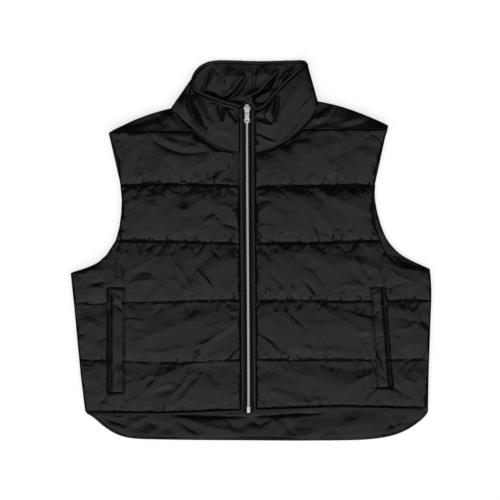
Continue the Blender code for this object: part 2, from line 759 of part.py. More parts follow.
def make_front_edge(side):
    """The rolled edge under one front's hem, round its corner and up beside the zip."""
    sign = -1.0 if side == "left" else 1.0
    quilt = (QUILT_LEFT if side == "left" else QUILT_RIGHT)[0]
    start = EDGE_STARTS[side]
    corner_x = zip_x(quilt.zip) + sign * FRONT_OFFSET
    drop = HEM_RADIUS + GAP + 0.2

    def hem_y(x):
        t = (x - (start + sign * 3.0)) / (corner_x - (start + sign * 3.0))
        return mix(quilt.side, quilt.middle, t * 2) if t < 0.5 else mix(quilt.middle, quilt.zip, t * 2 - 1)

    z = ZIP_LOW_Z
    points, radii = [], []
    for k in range(HEM_PIECES + 1):
        x = mix(start, corner_x + sign * 4.0, k / HEM_PIECES)
        points.append((x, hem_y(x) - drop, z))
        radii.append(HEM_RADIUS)
    centre = zip_x(quilt.zip) + sign * EDGE_OFFSET
    for dx, dy, radius in ((1.6, -drop, 2.1), (0.45, -1.7, 1.8), (0.0, 1.0, EDGE_RADIUS)):
        points.append((centre + sign * dx, quilt.zip + dy, z))
        radii.append(radius)
    for k in range(1, RISE_PIECES + 1):
        y = mix(quilt.zip, ZIP_TOP - 6.0, k / RISE_PIECES)
        points.append((zip_x(y) + sign * EDGE_OFFSET, y, zip_z(y)))
        radii.append(EDGE_RADIUS)
    tube("front_edge_" + side, points, radii, SHELL)


# ---- zip ---------------------------------------------------------------------------------------------------

def make_strip(name, left_of, right_of, y_low, y_high, thick, material):
    """A flat strip along the zip, between two offsets from its centre line."""
    top, bottom = [], []
    for k in range(STRIP_PIECES + 1):
        y = mix(y_low, y_high, k / STRIP_PIECES)
        xs = (zip_x(y) + left_of, zip_x(y) + right_of)
        top.append([(x, y, zip_z(y) + thick / 2) for x in xs])
        bottom.append([(x, y, zip_z(y) - thick / 2) for x in xs])
    loft(name, top, bottom, material)


def make_zip():
    make_strip("zip_tape_left", -TAPE_OUTER, -TAPE_INNER, ZIP_BOTTOM, ZIP_TOP, TAPE_THICK, TAPE)
    make_strip("zip_tape_right", TAPE_INNER, TAPE_OUTER, ZIP_BOTTOM, ZIP_TOP, TAPE_THICK, TAPE)
    make_strip("zip_chain", -CHAIN_HALF, CHAIN_HALF, CHAIN_LOW, SLIDER_Y + 1.0, CHAIN_THICK, METAL)
    box = link("zip_box", box_mesh("zip_box", BOX_SIZE, BOX_ROUND), METAL)
    box.location = Vector((zip_x(ZIP_BOTTOM), ZIP_BOTTOM + BOX_SIZE[1] / 2 + 0.2, zip_z(ZIP_BOTTOM))) * MM


def make_slider():
    """Two plates round the chain, joined by a post at the crown, and a bridge over the upper plate."""
    half = [(row.half, row.y) for row in SLIDER_OUTLINE]
    outline = half + [(-x, y) for x, y in reversed(half)]
    x, z = zip_x(SLIDER_Y), zip_z(SLIDER_Y)
    level = (SLIDER_SLOT + SLIDER_PLATE) / 2
    slider = link("zip_slider", outline_mesh("zip_slider", [outline], SLIDER_PLATE), METAL)
    slider.location = Vector((x, SLIDER_Y, z + level)) * MM
    lower = outline_mesh("slider_lower_plate", [outline], SLIDER_PLATE)
    join_cutter(slider, lower, "slider_lower_plate", (x, SLIDER_Y, z - level))
    post = box_mesh("slider_post", POST_SIZE)
    join_cutter(slider, post, "slider_post", (x, SLIDER_Y + POST_FORWARD, z))
    top = z + SLIDER_SLOT / 2 + SLIDER_PLATE
    for name, way in (("slider_bridge_front", 1.0), ("slider_bridge_back", -1.0)):
        foot = box_mesh(name, FOOT_SIZE)
        join_cutter(slider, foot, name, (x, PULL_Y + way * FOOT_APART, top + FOOT_RISE))
    span = box_mesh("slider_bridge_span", SPAN_SIZE)
    join_cutter(slider, span, "slider_bridge_span", (x, PULL_Y, top + SPAN_RISE))


def make_pull():
    """Pull tab: a slot round the bridge at one end and a ring at the other, hung on its cross bar."""
    half = [(row.half, -row.along) for row in PULL_OUTLINE]
    outline = half + [(-x, y) for x, y in reversed(half)]
    start, end, slot_half = PULL_SLOT
    slot = [(slot_half, -start), (slot_half, -end), (-slot_half, -end), (-slot_half, -start)]
    middle, ring_along, ring_across = PULL_RING
    ring = []
    for k in range(RING_SIDES):
        turn = math.tau * k / RING_SIDES
        ring.append((ring_across * math.cos(turn), -middle + ring_along * math.sin(turn)))
    pull = link("zip_pull", outline_mesh("zip_pull", [outline, slot, ring], PULL_THICK), METAL)
    pull.location = Vector((zip_x(SLIDER_Y), PULL_Y, zip_z(SLIDER_Y) + SLIDER_SLOT / 2 + PULL_RISE)) * MM
    pull.rotation_euler = (PULL_TILT, 0.0, 0.0)


clear_scene()
VEST = new_collection("puffer_vest")
CUTTERS = new_collection("cutters")
SHELL = new_material("black_nylon", (0.018, 0.018, 0.020), 0.38)
TAPE = new_material("zip_tape", (0.010, 0.010, 0.011), 0.8)
METAL = new_material("silver_zip", (0.62, 0.59, 0.54), 0.3, 1.0)

make_back()
for hand in ("left", "right"):
    skin = make_front(hand)
    make_welt(hand, skin)
    make_front_edge(hand)
make_collar()
make_collar_edge()
make_zip()
make_slider()
make_pull()
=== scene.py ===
"""Looks of a puffer vest laid flat on its back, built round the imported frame.

Sizes are in millimetres, and MM turns them into the frame's metres.
"""

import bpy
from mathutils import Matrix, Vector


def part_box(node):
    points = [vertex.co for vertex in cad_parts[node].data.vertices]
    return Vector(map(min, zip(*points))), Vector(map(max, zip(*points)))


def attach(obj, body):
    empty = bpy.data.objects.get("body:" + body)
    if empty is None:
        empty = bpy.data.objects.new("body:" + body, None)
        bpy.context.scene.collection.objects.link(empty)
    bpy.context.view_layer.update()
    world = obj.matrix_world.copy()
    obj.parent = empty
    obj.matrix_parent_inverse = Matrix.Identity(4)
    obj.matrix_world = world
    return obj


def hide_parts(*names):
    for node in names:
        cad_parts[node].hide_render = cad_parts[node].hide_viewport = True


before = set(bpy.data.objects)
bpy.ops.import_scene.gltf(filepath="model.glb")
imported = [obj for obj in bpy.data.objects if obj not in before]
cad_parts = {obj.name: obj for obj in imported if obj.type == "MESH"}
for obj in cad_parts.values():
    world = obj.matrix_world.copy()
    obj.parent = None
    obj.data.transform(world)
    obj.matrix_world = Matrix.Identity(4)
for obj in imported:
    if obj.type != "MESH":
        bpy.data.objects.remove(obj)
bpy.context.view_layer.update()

import math
from collections import namedtuple

import bmesh
import bpy
import numpy as np
from mathutils import Matrix, Vector
from mathutils.bvhtree import BVHTree
from mathutils.kdtree import KDTree

MM = 0.001

# ---- Studio --------------------------------------------------------
# A white table under one very large, soft overhead light that leans to the hem, so slopes that face the
# collar fall dark. A narrow strip over the zip lights its metal. The camera hangs straight over the vest.

VIEW_WIDTH = 800.0
VIEW_LEVEL = 12.0  # the height at which the view is that wide
VIEW_CENTRE = (-1.9, 0.8)
CAMERA_HEIGHT = 6000.0
SENSOR = 36.0

camera_data = bpy.data.cameras.new("camera")
camera_data.sensor_width = SENSOR
camera_data.lens = SENSOR * (CAMERA_HEIGHT - VIEW_LEVEL) / VIEW_WIDTH
camera = bpy.data.objects.new("camera", camera_data)
camera.location = Vector((*VIEW_CENTRE, CAMERA_HEIGHT)) * MM
bpy.context.scene.collection.objects.link(camera)
bpy.context.scene.camera = camera
bpy.context.scene.view_settings.view_transform = "Standard"

LIGHT_HEIGHT = 2.5  # in metres, as are the panels' widths

# Each panel of the light reaches between two angles from overhead, below 0 to the hem.
LightPanel = namedtuple("LightPanel", "name start end width radiance")
LIGHT_PANELS = (
    LightPanel("hem_low", -68.0, -42.0, 6.0, 0.98),
    LightPanel("hem_high", -42.0, -20.0, 8.0, 0.70),
    LightPanel("overhead_hem", -20.0, -5.0, 10.0, 0.62),
    LightPanel("overhead_collar", -5.0, 10.0, 10.0, 0.52),
    LightPanel("collar_high", 10.0, 24.0, 10.0, 0.38),
    LightPanel("collar_low", 24.0, 38.0, 10.0, 0.20),
)
STRIP_WIDTH = 0.14
STRIP_ENDS = (-0.48, 0.42)
STRIP_RADIANCE = 0.6


def add_softbox(name, width, start, end, radiance):
    """A soft light overhead between two places in y, in metres."""
    softbox_data = bpy.data.lights.new(name, "AREA")
    softbox_data.shape = "RECTANGLE"
    softbox_data.size = width
    softbox_data.size_y = end - start
    softbox_data.energy = radiance * math.pi * width * (end - start)
    softbox = bpy.data.objects.new(name, softbox_data)
    softbox.location = (0.0, (start + end) / 2, LIGHT_HEIGHT)
    softbox.visible_camera = False
    bpy.context.scene.collection.objects.link(softbox)


for panel in LIGHT_PANELS:
    start, end = (LIGHT_HEIGHT * math.tan(math.radians(angle)) for angle in (panel.start, panel.end))
    add_softbox(panel.name, panel.width, start, end, panel.radiance)
add_softbox("zip_strip", STRIP_WIDTH, *STRIP_ENDS, STRIP_RADIANCE)

world = bpy.data.worlds.new("room")
world.use_nodes = True
background = world.node_tree.nodes["Background"]
background.inputs["Color"].default_value = (0.93, 0.96, 1.0, 1.0)
background.inputs["Strength"].default_value = 0.035
bpy.context.scene.world = world

FLOOR_SIZE = 16.0  # in metres
FLOOR_DROP = 0.4  # below the vest
bpy.ops.object.select_all(action="DESELECT")
bpy.ops.mesh.primitive_plane_add(size=FLOOR_SIZE, location=(0.0, 0.0, -FLOOR_DROP * MM))
floor = bpy.context.object
floor.name = "floor"
white = bpy.data.materials.new("white_table")
white.use_nodes = True
white_shader = white.node_tree.nodes["Principled BSDF"]
white_shader.inputs["Base Color"].default_value = (0.9, 0.9, 0.9, 1.0)
white_shader.inputs["Roughness"].default_value = 0.9
white_shader.inputs["Emission Color"].default_value = (1.0, 1.0, 1.0, 1.0)
white_shader.inputs["Emission Strength"].default_value = 0.66
floor.data.materials.append(white)
floor.visible_glossy = False
floor.visible_diffuse = False


# ---- Back panel ----------------------------------------------------
# Two layers of black nylon quilted over wadding, cut longer than the fronts. Its inside shows at the drop hem
# and beyond the right armhole, and it wraps over both shoulders to the forward seams.


class Socket:
    """A shader value. Arithmetic on it adds the Math nodes; node() adds any other."""

    def __init__(self, tree, link):
        self.tree = tree
        self.link = link

    def node(self, kind, settings, inputs, output=0):
        made = self.tree.nodes.new(kind)
        for name, value in settings.items():
            setattr(made, name, value)
        for name, value in inputs.items():
            if isinstance(value, Socket):
                self.tree.links.new(value.link, made.inputs[name])
            else:
                made.inputs[name].default_value = value
        return Socket(self.tree, made.outputs[output])

    def maths(self, operation, first, second):
        return self.node("ShaderNodeMath", {"operation": operation}, {0: first, 1: second})

    def __add__(self, other):
        return self.maths("ADD", self, other)

    def __sub__(self, other):
        return self.maths("SUBTRACT", self, other)

    def __rsub__(self, other):
        return self.maths("SUBTRACT", other, self)

    def __mul__(self, other):
        return self.maths("MULTIPLY", self, other)

    __radd__ = __add__
    __rmul__ = __mul__


def new_finish(name, colour, roughness, metallic=0.0):
    """A material with its even values set; returns it, its shader and its object coordinates."""
    material = bpy.data.materials.new(name)
    material.use_nodes = True
    tree = material.node_tree
    shader = tree.nodes["Principled BSDF"]
    shader.inputs["Base Color"].default_value = (*colour, 1.0)
    shader.inputs["Roughness"].default_value = roughness
    shader.inputs["Metallic"].default_value = metallic
    place = Socket(tree, tree.nodes.new("ShaderNodeTexCoord").outputs["Object"])
    return material, shader, place


WAVE_RATE = 20.0  # a Wave Texture of scale 1 turns through this many radians in a metre


def threads(place, pitch, direction):
    """Ribs of thread across one direction, from 0 to 1."""
    scale = math.tau / (WAVE_RATE * pitch * MM)
    return place.node("ShaderNodeTexWave", {"bands_direction": direction}, {"Vector": place, "Scale": scale})


CLOUD_GLOSS = 0.16  # how far the roughness wanders over the cloth
FINE_GLOSS = 0.06
FINE_SHARE = 0.16  # the small rumple's height beside the large one's
WEAVE_HEIGHT = 0.006


def nylon(name, colour, shade, roughness, pitch, rumple):
    """Woven cloth: fine threads both ways, a soft rumple under them, and slightly uneven colour and gloss."""
    material, shader, place = new_finish(name, colour, roughness)
    shader.inputs["Specular Tint"].default_value = (0.93, 0.915, 1.0, 1.0)
    cloud = place.node("ShaderNodeTexNoise", {}, {"Vector": place, "Scale": 38.0, "Detail": 3.0})
    fine = place.node("ShaderNodeTexNoise", {}, {"Vector": place, "Scale": 210.0, "Detail": 2.0})
    blend = place.node("ShaderNodeMix", {"data_type": "RGBA"},
                       {0: cloud, 6: (*colour, 1.0), 7: (*shade, 1.0)}, 2)
    tree = place.tree
    tree.links.new(blend.link, shader.inputs["Base Color"])
    gloss = (cloud - 0.5) * CLOUD_GLOSS + (fine - 0.5) * FINE_GLOSS + roughness
    tree.links.new(gloss.link, shader.inputs["Roughness"])
    weave = threads(place, pitch, "X") + threads(place, pitch, "Y")
    height = cloud * rumple + fine * (rumple * FINE_SHARE) + weave * WEAVE_HEIGHT
    bump = place.node("ShaderNodeBump", {}, {"Height": height, "Distance": MM, "Strength": 1.0})
    tree.links.new(bump.link, shader.inputs["Normal"])
    return material


SHELL = nylon("black_nylon", (0.0050, 0.0050, 0.0066), (0.0028, 0.0028, 0.0040),
              roughness=0.27, pitch=0.5, rumple=0.8)


def points_of(mesh):
    """A mesh's points as an array, in millimetres."""
    flat = np.empty(len(mesh.vertices) * 3)
    mesh.vertices.foreach_get("co", flat)
    return flat.reshape(-1, 3) / MM


def move_points(mesh, places):
    mesh.vertices.foreach_set("co", (places * MM).ravel())
    mesh.update()


def normals_of(mesh):
    flat = np.empty(len(mesh.vertices) * 3)
    mesh.vertex_normals.foreach_get("vector", flat)
    return flat.reshape(-1, 3)


def new_piece(name, mesh, material):
    """A mesh as a smooth piece of one material."""
    piece = bpy.data.objects.new(name, mesh)
    bpy.context.scene.collection.objects.link(piece)
    mesh.materials.clear()
    mesh.materials.append(material)
    mesh.shade_smooth()
    return piece


MERGE = 0.02  # corners nearer to each other than this become one


def copy_of(node, name, material):
    """A CAD piece's shape as a new piece, its loose triangles merged and paired into four-sided faces."""
    mesh = bpy.data.meshes.new(name)
    build = bmesh.new()
    build.from_mesh(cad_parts[node].data)
    bmesh.ops.remove_doubles(build, verts=build.verts[:], dist=MERGE * MM)
    bmesh.ops.join_triangles(build, faces=build.faces[:], angle_face_threshold=0.7, angle_shape_threshold=1.4)
    for layer in list(build.loops.layers.float_vector.values()):
        build.loops.layers.float_vector.remove(layer)
    build.to_mesh(mesh)
    build.free()
    return new_piece(name, mesh, material)


SHARP = 50.0  # an edge that turns more than this, in degrees, is a sharp one


def refine(piece, levels, rim=0.0):
    """Round a piece with Subdivision Surface, holding its sharp edges by rim, from 0 to 1."""
    build = bmesh.new()
    build.from_mesh(piece.data)
    crease = build.edges.layers.float.new("crease_edge")
    for edge in build.edges:
        if len(edge.link_faces) == 2 and edge.calc_face_angle() > math.radians(SHARP):
            edge[crease] = rim
    build.to_mesh(piece.data)
    build.free()
    finish_with(piece, "SUBSURF", levels=levels, render_levels=levels)


def finish_with(piece, kind, **settings):
    """Add a modifier and apply it."""
    modifier = piece.modifiers.new(kind.lower(), kind)
    for name, value in settings.items():
        setattr(modifier, name, value)
    apply_modifier(piece, modifier)


def apply_modifier(piece, modifier):
    bpy.ops.object.select_all(action="DESELECT")
    bpy.context.view_layer.objects.active = piece
    piece.select_set(True)
    bpy.ops.object.modifier_apply(modifier=modifier.name)
    piece.select_set(False)


def facing_up(slopes, sharpness):
    """From 0 where a surface is upright or faces down to 1 where it faces up; slopes are its normals' z."""
    return np.clip(slopes * sharpness, 0.0, 1.0)


JITTER = 0.4  # how far a facet's corner strays from an even grid
ABOVE_ALL = 99.0  # higher than any facet


def facets(places, size, turn, height, seed):
    """The height of cloth crumpled into flat facets, size long and wide, their length turned from X."""
    rng = np.random.default_rng(seed)
    cos, sin = math.cos(math.radians(turn)), math.sin(math.radians(turn))
    grid = np.stack([(places[:, 0] * cos + places[:, 1] * sin) / size[0],
                     (places[:, 1] * cos - places[:, 0] * sin) / size[1]], 1)
    grid -= grid.min(0) - 1.0
    columns, rows = (np.ceil(grid.max(0)) + 2).astype(int)
    corners = [(i + rng.uniform(-JITTER, JITTER), j + rng.uniform(-JITTER, JITTER), rng.normal(0.0, height))
               for i in range(columns) for j in range(rows)]
    triangles = []
    for i in range(columns - 1):
        for j in range(rows - 1):
            a, b, c, d = i * rows + j, (i + 1) * rows + j, (i + 1) * rows + j + 1, i * rows + j + 1
            triangles += [(a, b, c), (a, c, d)] if rng.random() < 0.5 else [(a, b, d), (b, c, d)]
    tree = BVHTree.FromPolygons(corners, triangles)
    down = Vector((0.0, 0.0, -1.0))
    return np.array([tree.ray_cast((x, y, ABOVE_ALL), down)[0].z for x, y in grid])


def from_rim(places, rim):
    """How far each point is from the nearest point of a rim, seen from above."""
    tree = KDTree(len(rim))
    for index, spot in enumerate(rim):
        tree.insert((spot[0], spot[1], 0.0), index)
    tree.balance()
    return np.array([tree.find((x, y, 0.0))[2] for x, y in places[:, :2]])


def upright(places, slopes, limit):
    """The points of a rim, whose normals lie nearly flat; slopes are the normals' z."""
    return places[np.abs(slopes) < limit]


def rolled(far, run, drop):
    """How far a surface turns down within a run of its rim."""
    return -drop * np.clip(1.0 - far / run, 0.0, 1.0) ** 2


def grooved(off, depth, spread, power=1.3):
    """The height of a groove at a distance off its middle."""
    return -depth * np.exp(-((np.abs(off) / spread) ** power))


# A crease is a row of numbers: its depth at the middle, below 0 for a trough; the half width of its side
# slopes; its lean, from -1 to 1, which makes the slope left of its path wider than the right; and then the
# x and y of each point of its path.
CREST = 1.35  # how round a ridge is: 1 is a sharp fold, 2 is soft
FOLD = 1.08  # and a trough
CREASE_REACH = 3.2  # how far a crease is felt to each side, in half widths
CREASE_TAPER = 0.6  # how its height falls to its ends: less is blunter


def relief(places, creases):
    """The height that a table of creases adds at each point, in millimetres."""
    height = np.zeros(len(places))
    for depth, half_width, lean, *path in creases:
        knots = np.array(path, float).reshape(-1, 2)
        margin = half_width * CREASE_REACH
        low, high = knots.min(0) - margin, knots.max(0) + margin
        near = np.nonzero(((places[:, :2] > low) & (places[:, :2] < high)).all(1))[0]
        spot = places[near, :2]
        closest = np.full(len(near), np.inf)
        side = np.zeros(len(near))
        along = np.zeros(len(near))
        track = curve_through(knots, max(6, 3 * (len(knots) - 1)))
        for k, (a, b) in enumerate(zip(track, track[1:])):
            run = b - a
            t = np.clip(((spot - a) @ run) / (run @ run), 0.0, 1.0)
            off = spot - a - t[:, None] * run
            far = np.hypot(off[:, 0], off[:, 1])
            closer = far < closest
            closest = np.where(closer, far, closest)
            side = np.where(closer, np.sign(run[0] * off[:, 1] - run[1] * off[:, 0]), side)
            along = np.where(closer, (k + t) / (len(track) - 1), along)
        width = half_width * (1.0 + lean * side)
        taper = np.sin(np.pi * np.clip(along, 0.0, 1.0)) ** CREASE_TAPER
        height[near] += depth * taper * np.exp(-((closest / width) ** (CREST if depth > 0.0 else FOLD)))
    return height


def curve_through(knots, steps):
    """Points along a smooth curve through the knots."""
    ends = np.vstack([2 * knots[0] - knots[1], knots, 2 * knots[-1] - knots[-2]])
    spots = []
    for s in np.linspace(0.0, len(knots) - 1, steps + 1):
        k = min(int(s), len(knots) - 2)
        t = s - k
        a, b, c, d = ends[k:k + 4]
        spots.append(0.5 * (2 * b + (c - a) * t + (2 * a - 5 * b + 4 * c - d) * t**2
                            + (3 * b - a - 3 * c + d) * t**3))
    return np.array(spots)


HEM_CREASES = (
    (-2.2, 4, 0.3, -238, -269, -213, -276, -197, -285),
    (1.6, 6, 0, -228, -279, -205, -283, -190, -292),
    (-1.8, 9, 0.4, -180, -268, -151, -281, -131, -287),
    (2, 8, 0, -160, -268, -125, -279, -96, -292, -70, -299),
    (-2.6, 6, 0.5, -112, -274, -96, -287, -80, -297),
    (2.2, 7, -0.2, -108, -271, -54, -285, -4, -295),
    (-2.4, 5, 0.3, -40, -268, -33, -277, -26, -286),
    (-2.8, 6, -0.3, -4, -266, 8, -276, 17, -283),
    (-2, 5, 0.3, 28, -266, 22, -274, 16, -282),
    (2, 6, 0, 34, -268, 44, -282, 40, -298),
    (-2.6, 5, 0.5, 50, -271, 60, -287, 66, -298),
    (1.6, 10, 0.2, 62, -290, 130, -282, 205, -276),
    (-1.4, 12, 0, 70, -272, 120, -268, 190, -266),
    (-2.4, 5, 0.4, 218, -264, 222, -275, 223, -284),
    (2.4, 5, 0, 227, -265, 236, -281, 248, -268),
    (-1.8, 5, 0, 255, -262, 252, -272, 246, -282),
    (-4.5, 2.6, 0, -128, -263, -60, -266, -6, -266),
    (-4, 2.4, 0, 0, -266, 60, -263, 114, -260),
)
SHOULDER_CREASES = (
    (-2.6, 4.5, 0.3, 135, 234, 127, 215, 114, 205, 91, 199),
    (2.4, 5, 0, 119, 226, 112, 214, 104, 206),
    (1.5, 4.5, 0.3, 140, 202, 160, 207, 178, 212),
    (-1.5, 5, 0, 144, 196, 164, 200, 184, 206),
    (-1.8, 4.5, 0.4, -151, 219, -146, 207, -137, 196),
    (1.6, 4.5, 0, -134, 222, -128, 210, -118, 198),
    (-1.5, 6, 0.2, -200, 199, -180, 203, -160, 212),
    (1.2, 4, 0, -176, 190, -168, 200, -152, 205),
)
ARMHOLE_BAND_CREASES = (
    (-2.6, 4, 0.3, 222, 5, 232, -8, 246, -18, 262, -24),
    (-2, 3, 0, 214, 26, 222, 16, 230, 10),
    (1.6, 3.5, 0, 205, 40, 212, 24, 226, 8),
    (-1.6, 3, 0, 199, 62, 206, 52, 211, 48),
    (2, 5, 0, 240, -12, 258, -20, 276, -26),
    (-7, 9, 0, 228, -8, 254, -20, 292, -31),
    (-3, 3, 0, 212, 40, 216, 28, 224, 20),
)


def split_where_seen(piece, seen, longest):
    """Halve the edges whose middle is seen(x, y, z), until none is longer than longest."""
    build = bmesh.new()
    build.from_mesh(piece.data)
    while True:
        long = []
        for edge in build.edges:
            middle = (edge.verts[0].co + edge.verts[1].co) / (2.0 * MM)
            if edge.calc_length() > longest * MM and seen(*middle):
                long.append(edge)
        if not long:
            break
        bmesh.ops.subdivide_edges(build, edges=long, cuts=1, use_grid_fill=True)
    build.to_mesh(piece.data)
    build.free()


def back_shows(x, y, z):
    """Where the back panel shows from above."""
    shoulder_wrap = z > 9.4
    drop_hem = z > 3.0 and y < -252.0
    armhole_band = z > 3.0 and -34.0 < y < 95.0 and x > 190.0
    return shoulder_wrap or drop_hem or armhole_band


def box_of(node):
    """The lowest and highest corner of a CAD piece, in millimetres."""
    return [np.array(corner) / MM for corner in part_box(node)]


def reach(node, axis, value):
    """The lowest and highest x (axis 0) or y (axis 1) of a CAD piece where its other coordinate is value."""
    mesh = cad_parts[node].data
    places = points_of(mesh)
    ends = np.empty(len(mesh.edges) * 2, int)
    mesh.edges.foreach_get("vertices", ends)
    a, b = places[ends[0::2]], places[ends[1::2]]
    other = 1 - axis
    meets = ((a[:, other] - value) * (b[:, other] - value) <= 0.0) & (a[:, other] != b[:, other])
    a, b = a[meets], b[meets]
    t = (value - a[:, other]) / (b[:, other] - a[:, other])
    found = a[:, axis] + t * (b[:, axis] - a[:, axis])
    return found.min(), found.max()


WRAP_LOW = 9.8
WRAP_SEAM_Z = 18.6
WRAP_SWELL = 0.8  # below 1 the wrap stands rounder
SEAM_INSET = 46.0  # the forward seam ends this far inside a front's box
HEM_FROM = -258.0  # where the drop hem comes out from under the fronts
HEM_RISE = 0.2  # its slope up to its rim
STITCH_IN = 4.8  # from the drop hem's rim to the stitching round it
ROLL_FROM = 100.0  # the back's rim is rolled up to here, and stitched up to STITCHED_TO
STITCHED_TO = -200.0
back = copy_of("back_panel", "back_panel_cloth", SHELL)
refine(back, 2, rim=0.8)
split_where_seen(back, back_shows, longest=2.4)
back_places = points_of(back.data)
back_slopes = normals_of(back.data)[:, 2]
wrap = (back_places[:, 2] > 9.5) & (back_slopes > 0.15)
for side in ("left", "right"):
    here = wrap & ((back_places[:, 0] < 0.0) == (side == "left"))
    low, high = box_of("front_" + side)
    xs = np.linspace(back_places[here, 0].min(), back_places[here, 0].max(), 120)
    seam_xs = np.clip(xs, low[0] + SEAM_INSET, high[0] - SEAM_INSET)
    fold = np.interp(back_places[here, 0], xs, [reach("back_panel", 1, x)[1] for x in xs])
    seam = np.interp(back_places[here, 0], xs, [reach("front_" + side, 1, x)[1] for x in seam_xs])
    share = np.clip((fold - back_places[here, 1]) / np.maximum(fold - seam, 4.0), 0.0, 1.0)
    back_places[here, 2] = WRAP_LOW + (WRAP_SEAM_Z - WRAP_LOW) * share ** WRAP_SWELL
rim_gap = from_rim(back_places, upright(back_places, back_slopes, 0.4))
bumps = relief(back_places, HEM_CREASES + SHOULDER_CREASES + ARMHOLE_BAND_CREASES)
bumps += facets(back_places, size=(34.0, 15.0), turn=25.0, height=1.1, seed=5)
bumps += HEM_RISE * np.clip(HEM_FROM - back_places[:, 1], 0.0, 40.0)
bumps += rolled(rim_gap, run=3.0, drop=2.6) * (back_places[:, 1] < ROLL_FROM)
bumps += grooved(rim_gap - STITCH_IN, 1.8, 1.1, power=2) * (back_places[:, 1] < STITCHED_TO)
back_places[:, 2] = np.maximum(back_places[:, 2] + facing_up(back_slopes, 2.0) * bumps, 0.0)
move_points(back.data, back_places)
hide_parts("back_panel")
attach(back, "vest")


# ---- Fronts --------------------------------------------------------
# Each front is nylon quilted over wadding in five bays. The cloth is cut a little larger than its lining, so
# it puffs between the seams and puckers where the stitching gathers it.

SIGN = {"left": -1.0, "right": 1.0}
OUTER = {"left": 0, "right": 1}  # which of the two values of reach is the outer side's
FRONT_BASE = 9.3
SEAM_Z = 13.0
PUFF = 10.5
PUFF_REACH = 26.0
CELL = 2.6
ZIP_ENDS = (-260.0, 232.0)
ZIP_EDGE = 12.0  # from the zip's centre line to a front's edge
PUFF_KEPT = 0.8  # the share of the blown-up height that is left once the vest has lain a while
LEAST_THICK = 0.6
WELT_PRESS = 0.6  # the share of its height that the cloth keeps under a welt
WELT_SOFT = 9.0  # how far round a welt the cloth is pressed
CROWNS = (4.6, 5.0, 6.2, 8.0, 7.0)  # how high each bay stands over its seams, hem first
# The share of that height that each bay has just below its upper seam, hem bay first.
RISES = {"left": (0.2, 0.25, 0.6, 1.0, 1.0), "right": (0.2, 0.55, 0.75, 1.0, 1.0)}
RISE_RUN = 38.0  # how far below the seam it has all of it
SHOULDER_LIFT = 5.2  # of the forward shoulder seam, which lies over the shoulder's roll
SHOULDER_RUN = 30.0
LIFT_FROM, LIFT_RUN = 84.0, 30.0  # nearer to the zip than this the collar holds the seam down
CRUMPLE_TURN = {"left": 38.0, "right": -24.0}  # the way the soft facets of each front run, in degrees
SEAM_GROOVES = (2.4, 1.5, 1.5, 2.1, 2.1)  # how deep the stitching sinks in each seam, hem first
SEAM_SPREAD = 0.75
# How strong the folds at each seam are.
GATHERS = {"left": (0.7, 0.5, 0.6, 1.0, 1.0), "right": (0.8, 0.6, 1.1, 1.0, 1.0)}
# The depth and spread of the groove down each side of a welt, and across its ends.
WELT_GROOVES = {"left": ((5.0, 2.0), (2.8, 1.0)), "right": ((2.8, 1.0), (5.0, 2.0))}
WELT_END_GROOVE = (2.2, 1.1)
WELT_BOX = {side: box_of("welt_" + side) for side in ("left", "right")}

# The hem's seam, then the quilt seams: height at the side, in the middle and at the zip.
QUILTS = {
    "left": ((-258.6, -259.4, -254.6), (-175.2, -181.0, -175.2), (-85.9, -83.4, -79.2),
             (15.4, 14.0, 10.6), (103.7, 106.6, 103.7)),
    "right": ((-252.6, -248.8, -253.6), (-175.0, -175.6, -174.6), (-80.2, -82.1, -80.2),
              (15.4, 12.2, 10.6), (103.7, 103.7, 101.8)),
}


def ease(t):
    return t * t * (3.0 - 2.0 * t)


def zip_x(y):
    """The zip's centre line drifts a little between hem and collar."""
    return -4.2 - 2.5 * ease((y - ZIP_ENDS[0]) / (ZIP_ENDS[1] - ZIP_ENDS[0]))


def quilt_height(side, seam, x, x_side, x_zip):
    """Height of a quilt seam at x."""
    heights = QUILTS[side][seam]
    stops = (x_side, (x_side + x_zip) / 2, x_zip)
    order = np.argsort(stops)
    return np.interp(x, np.array(stops)[order], np.array(heights)[order])


def seam_side(side, seam):
    """Where a quilt seam meets the front's outer side."""
    return reach("front_" + side, 0, QUILTS[side][seam][0] + 0.2)[OUTER[side]]


def tip_x(side):
    """Where the forward shoulder seam starts at the armhole."""
    return reach("front_" + side, 0, box_of("front_" + side)[1][1] - 3.0)[OUTER[side]]


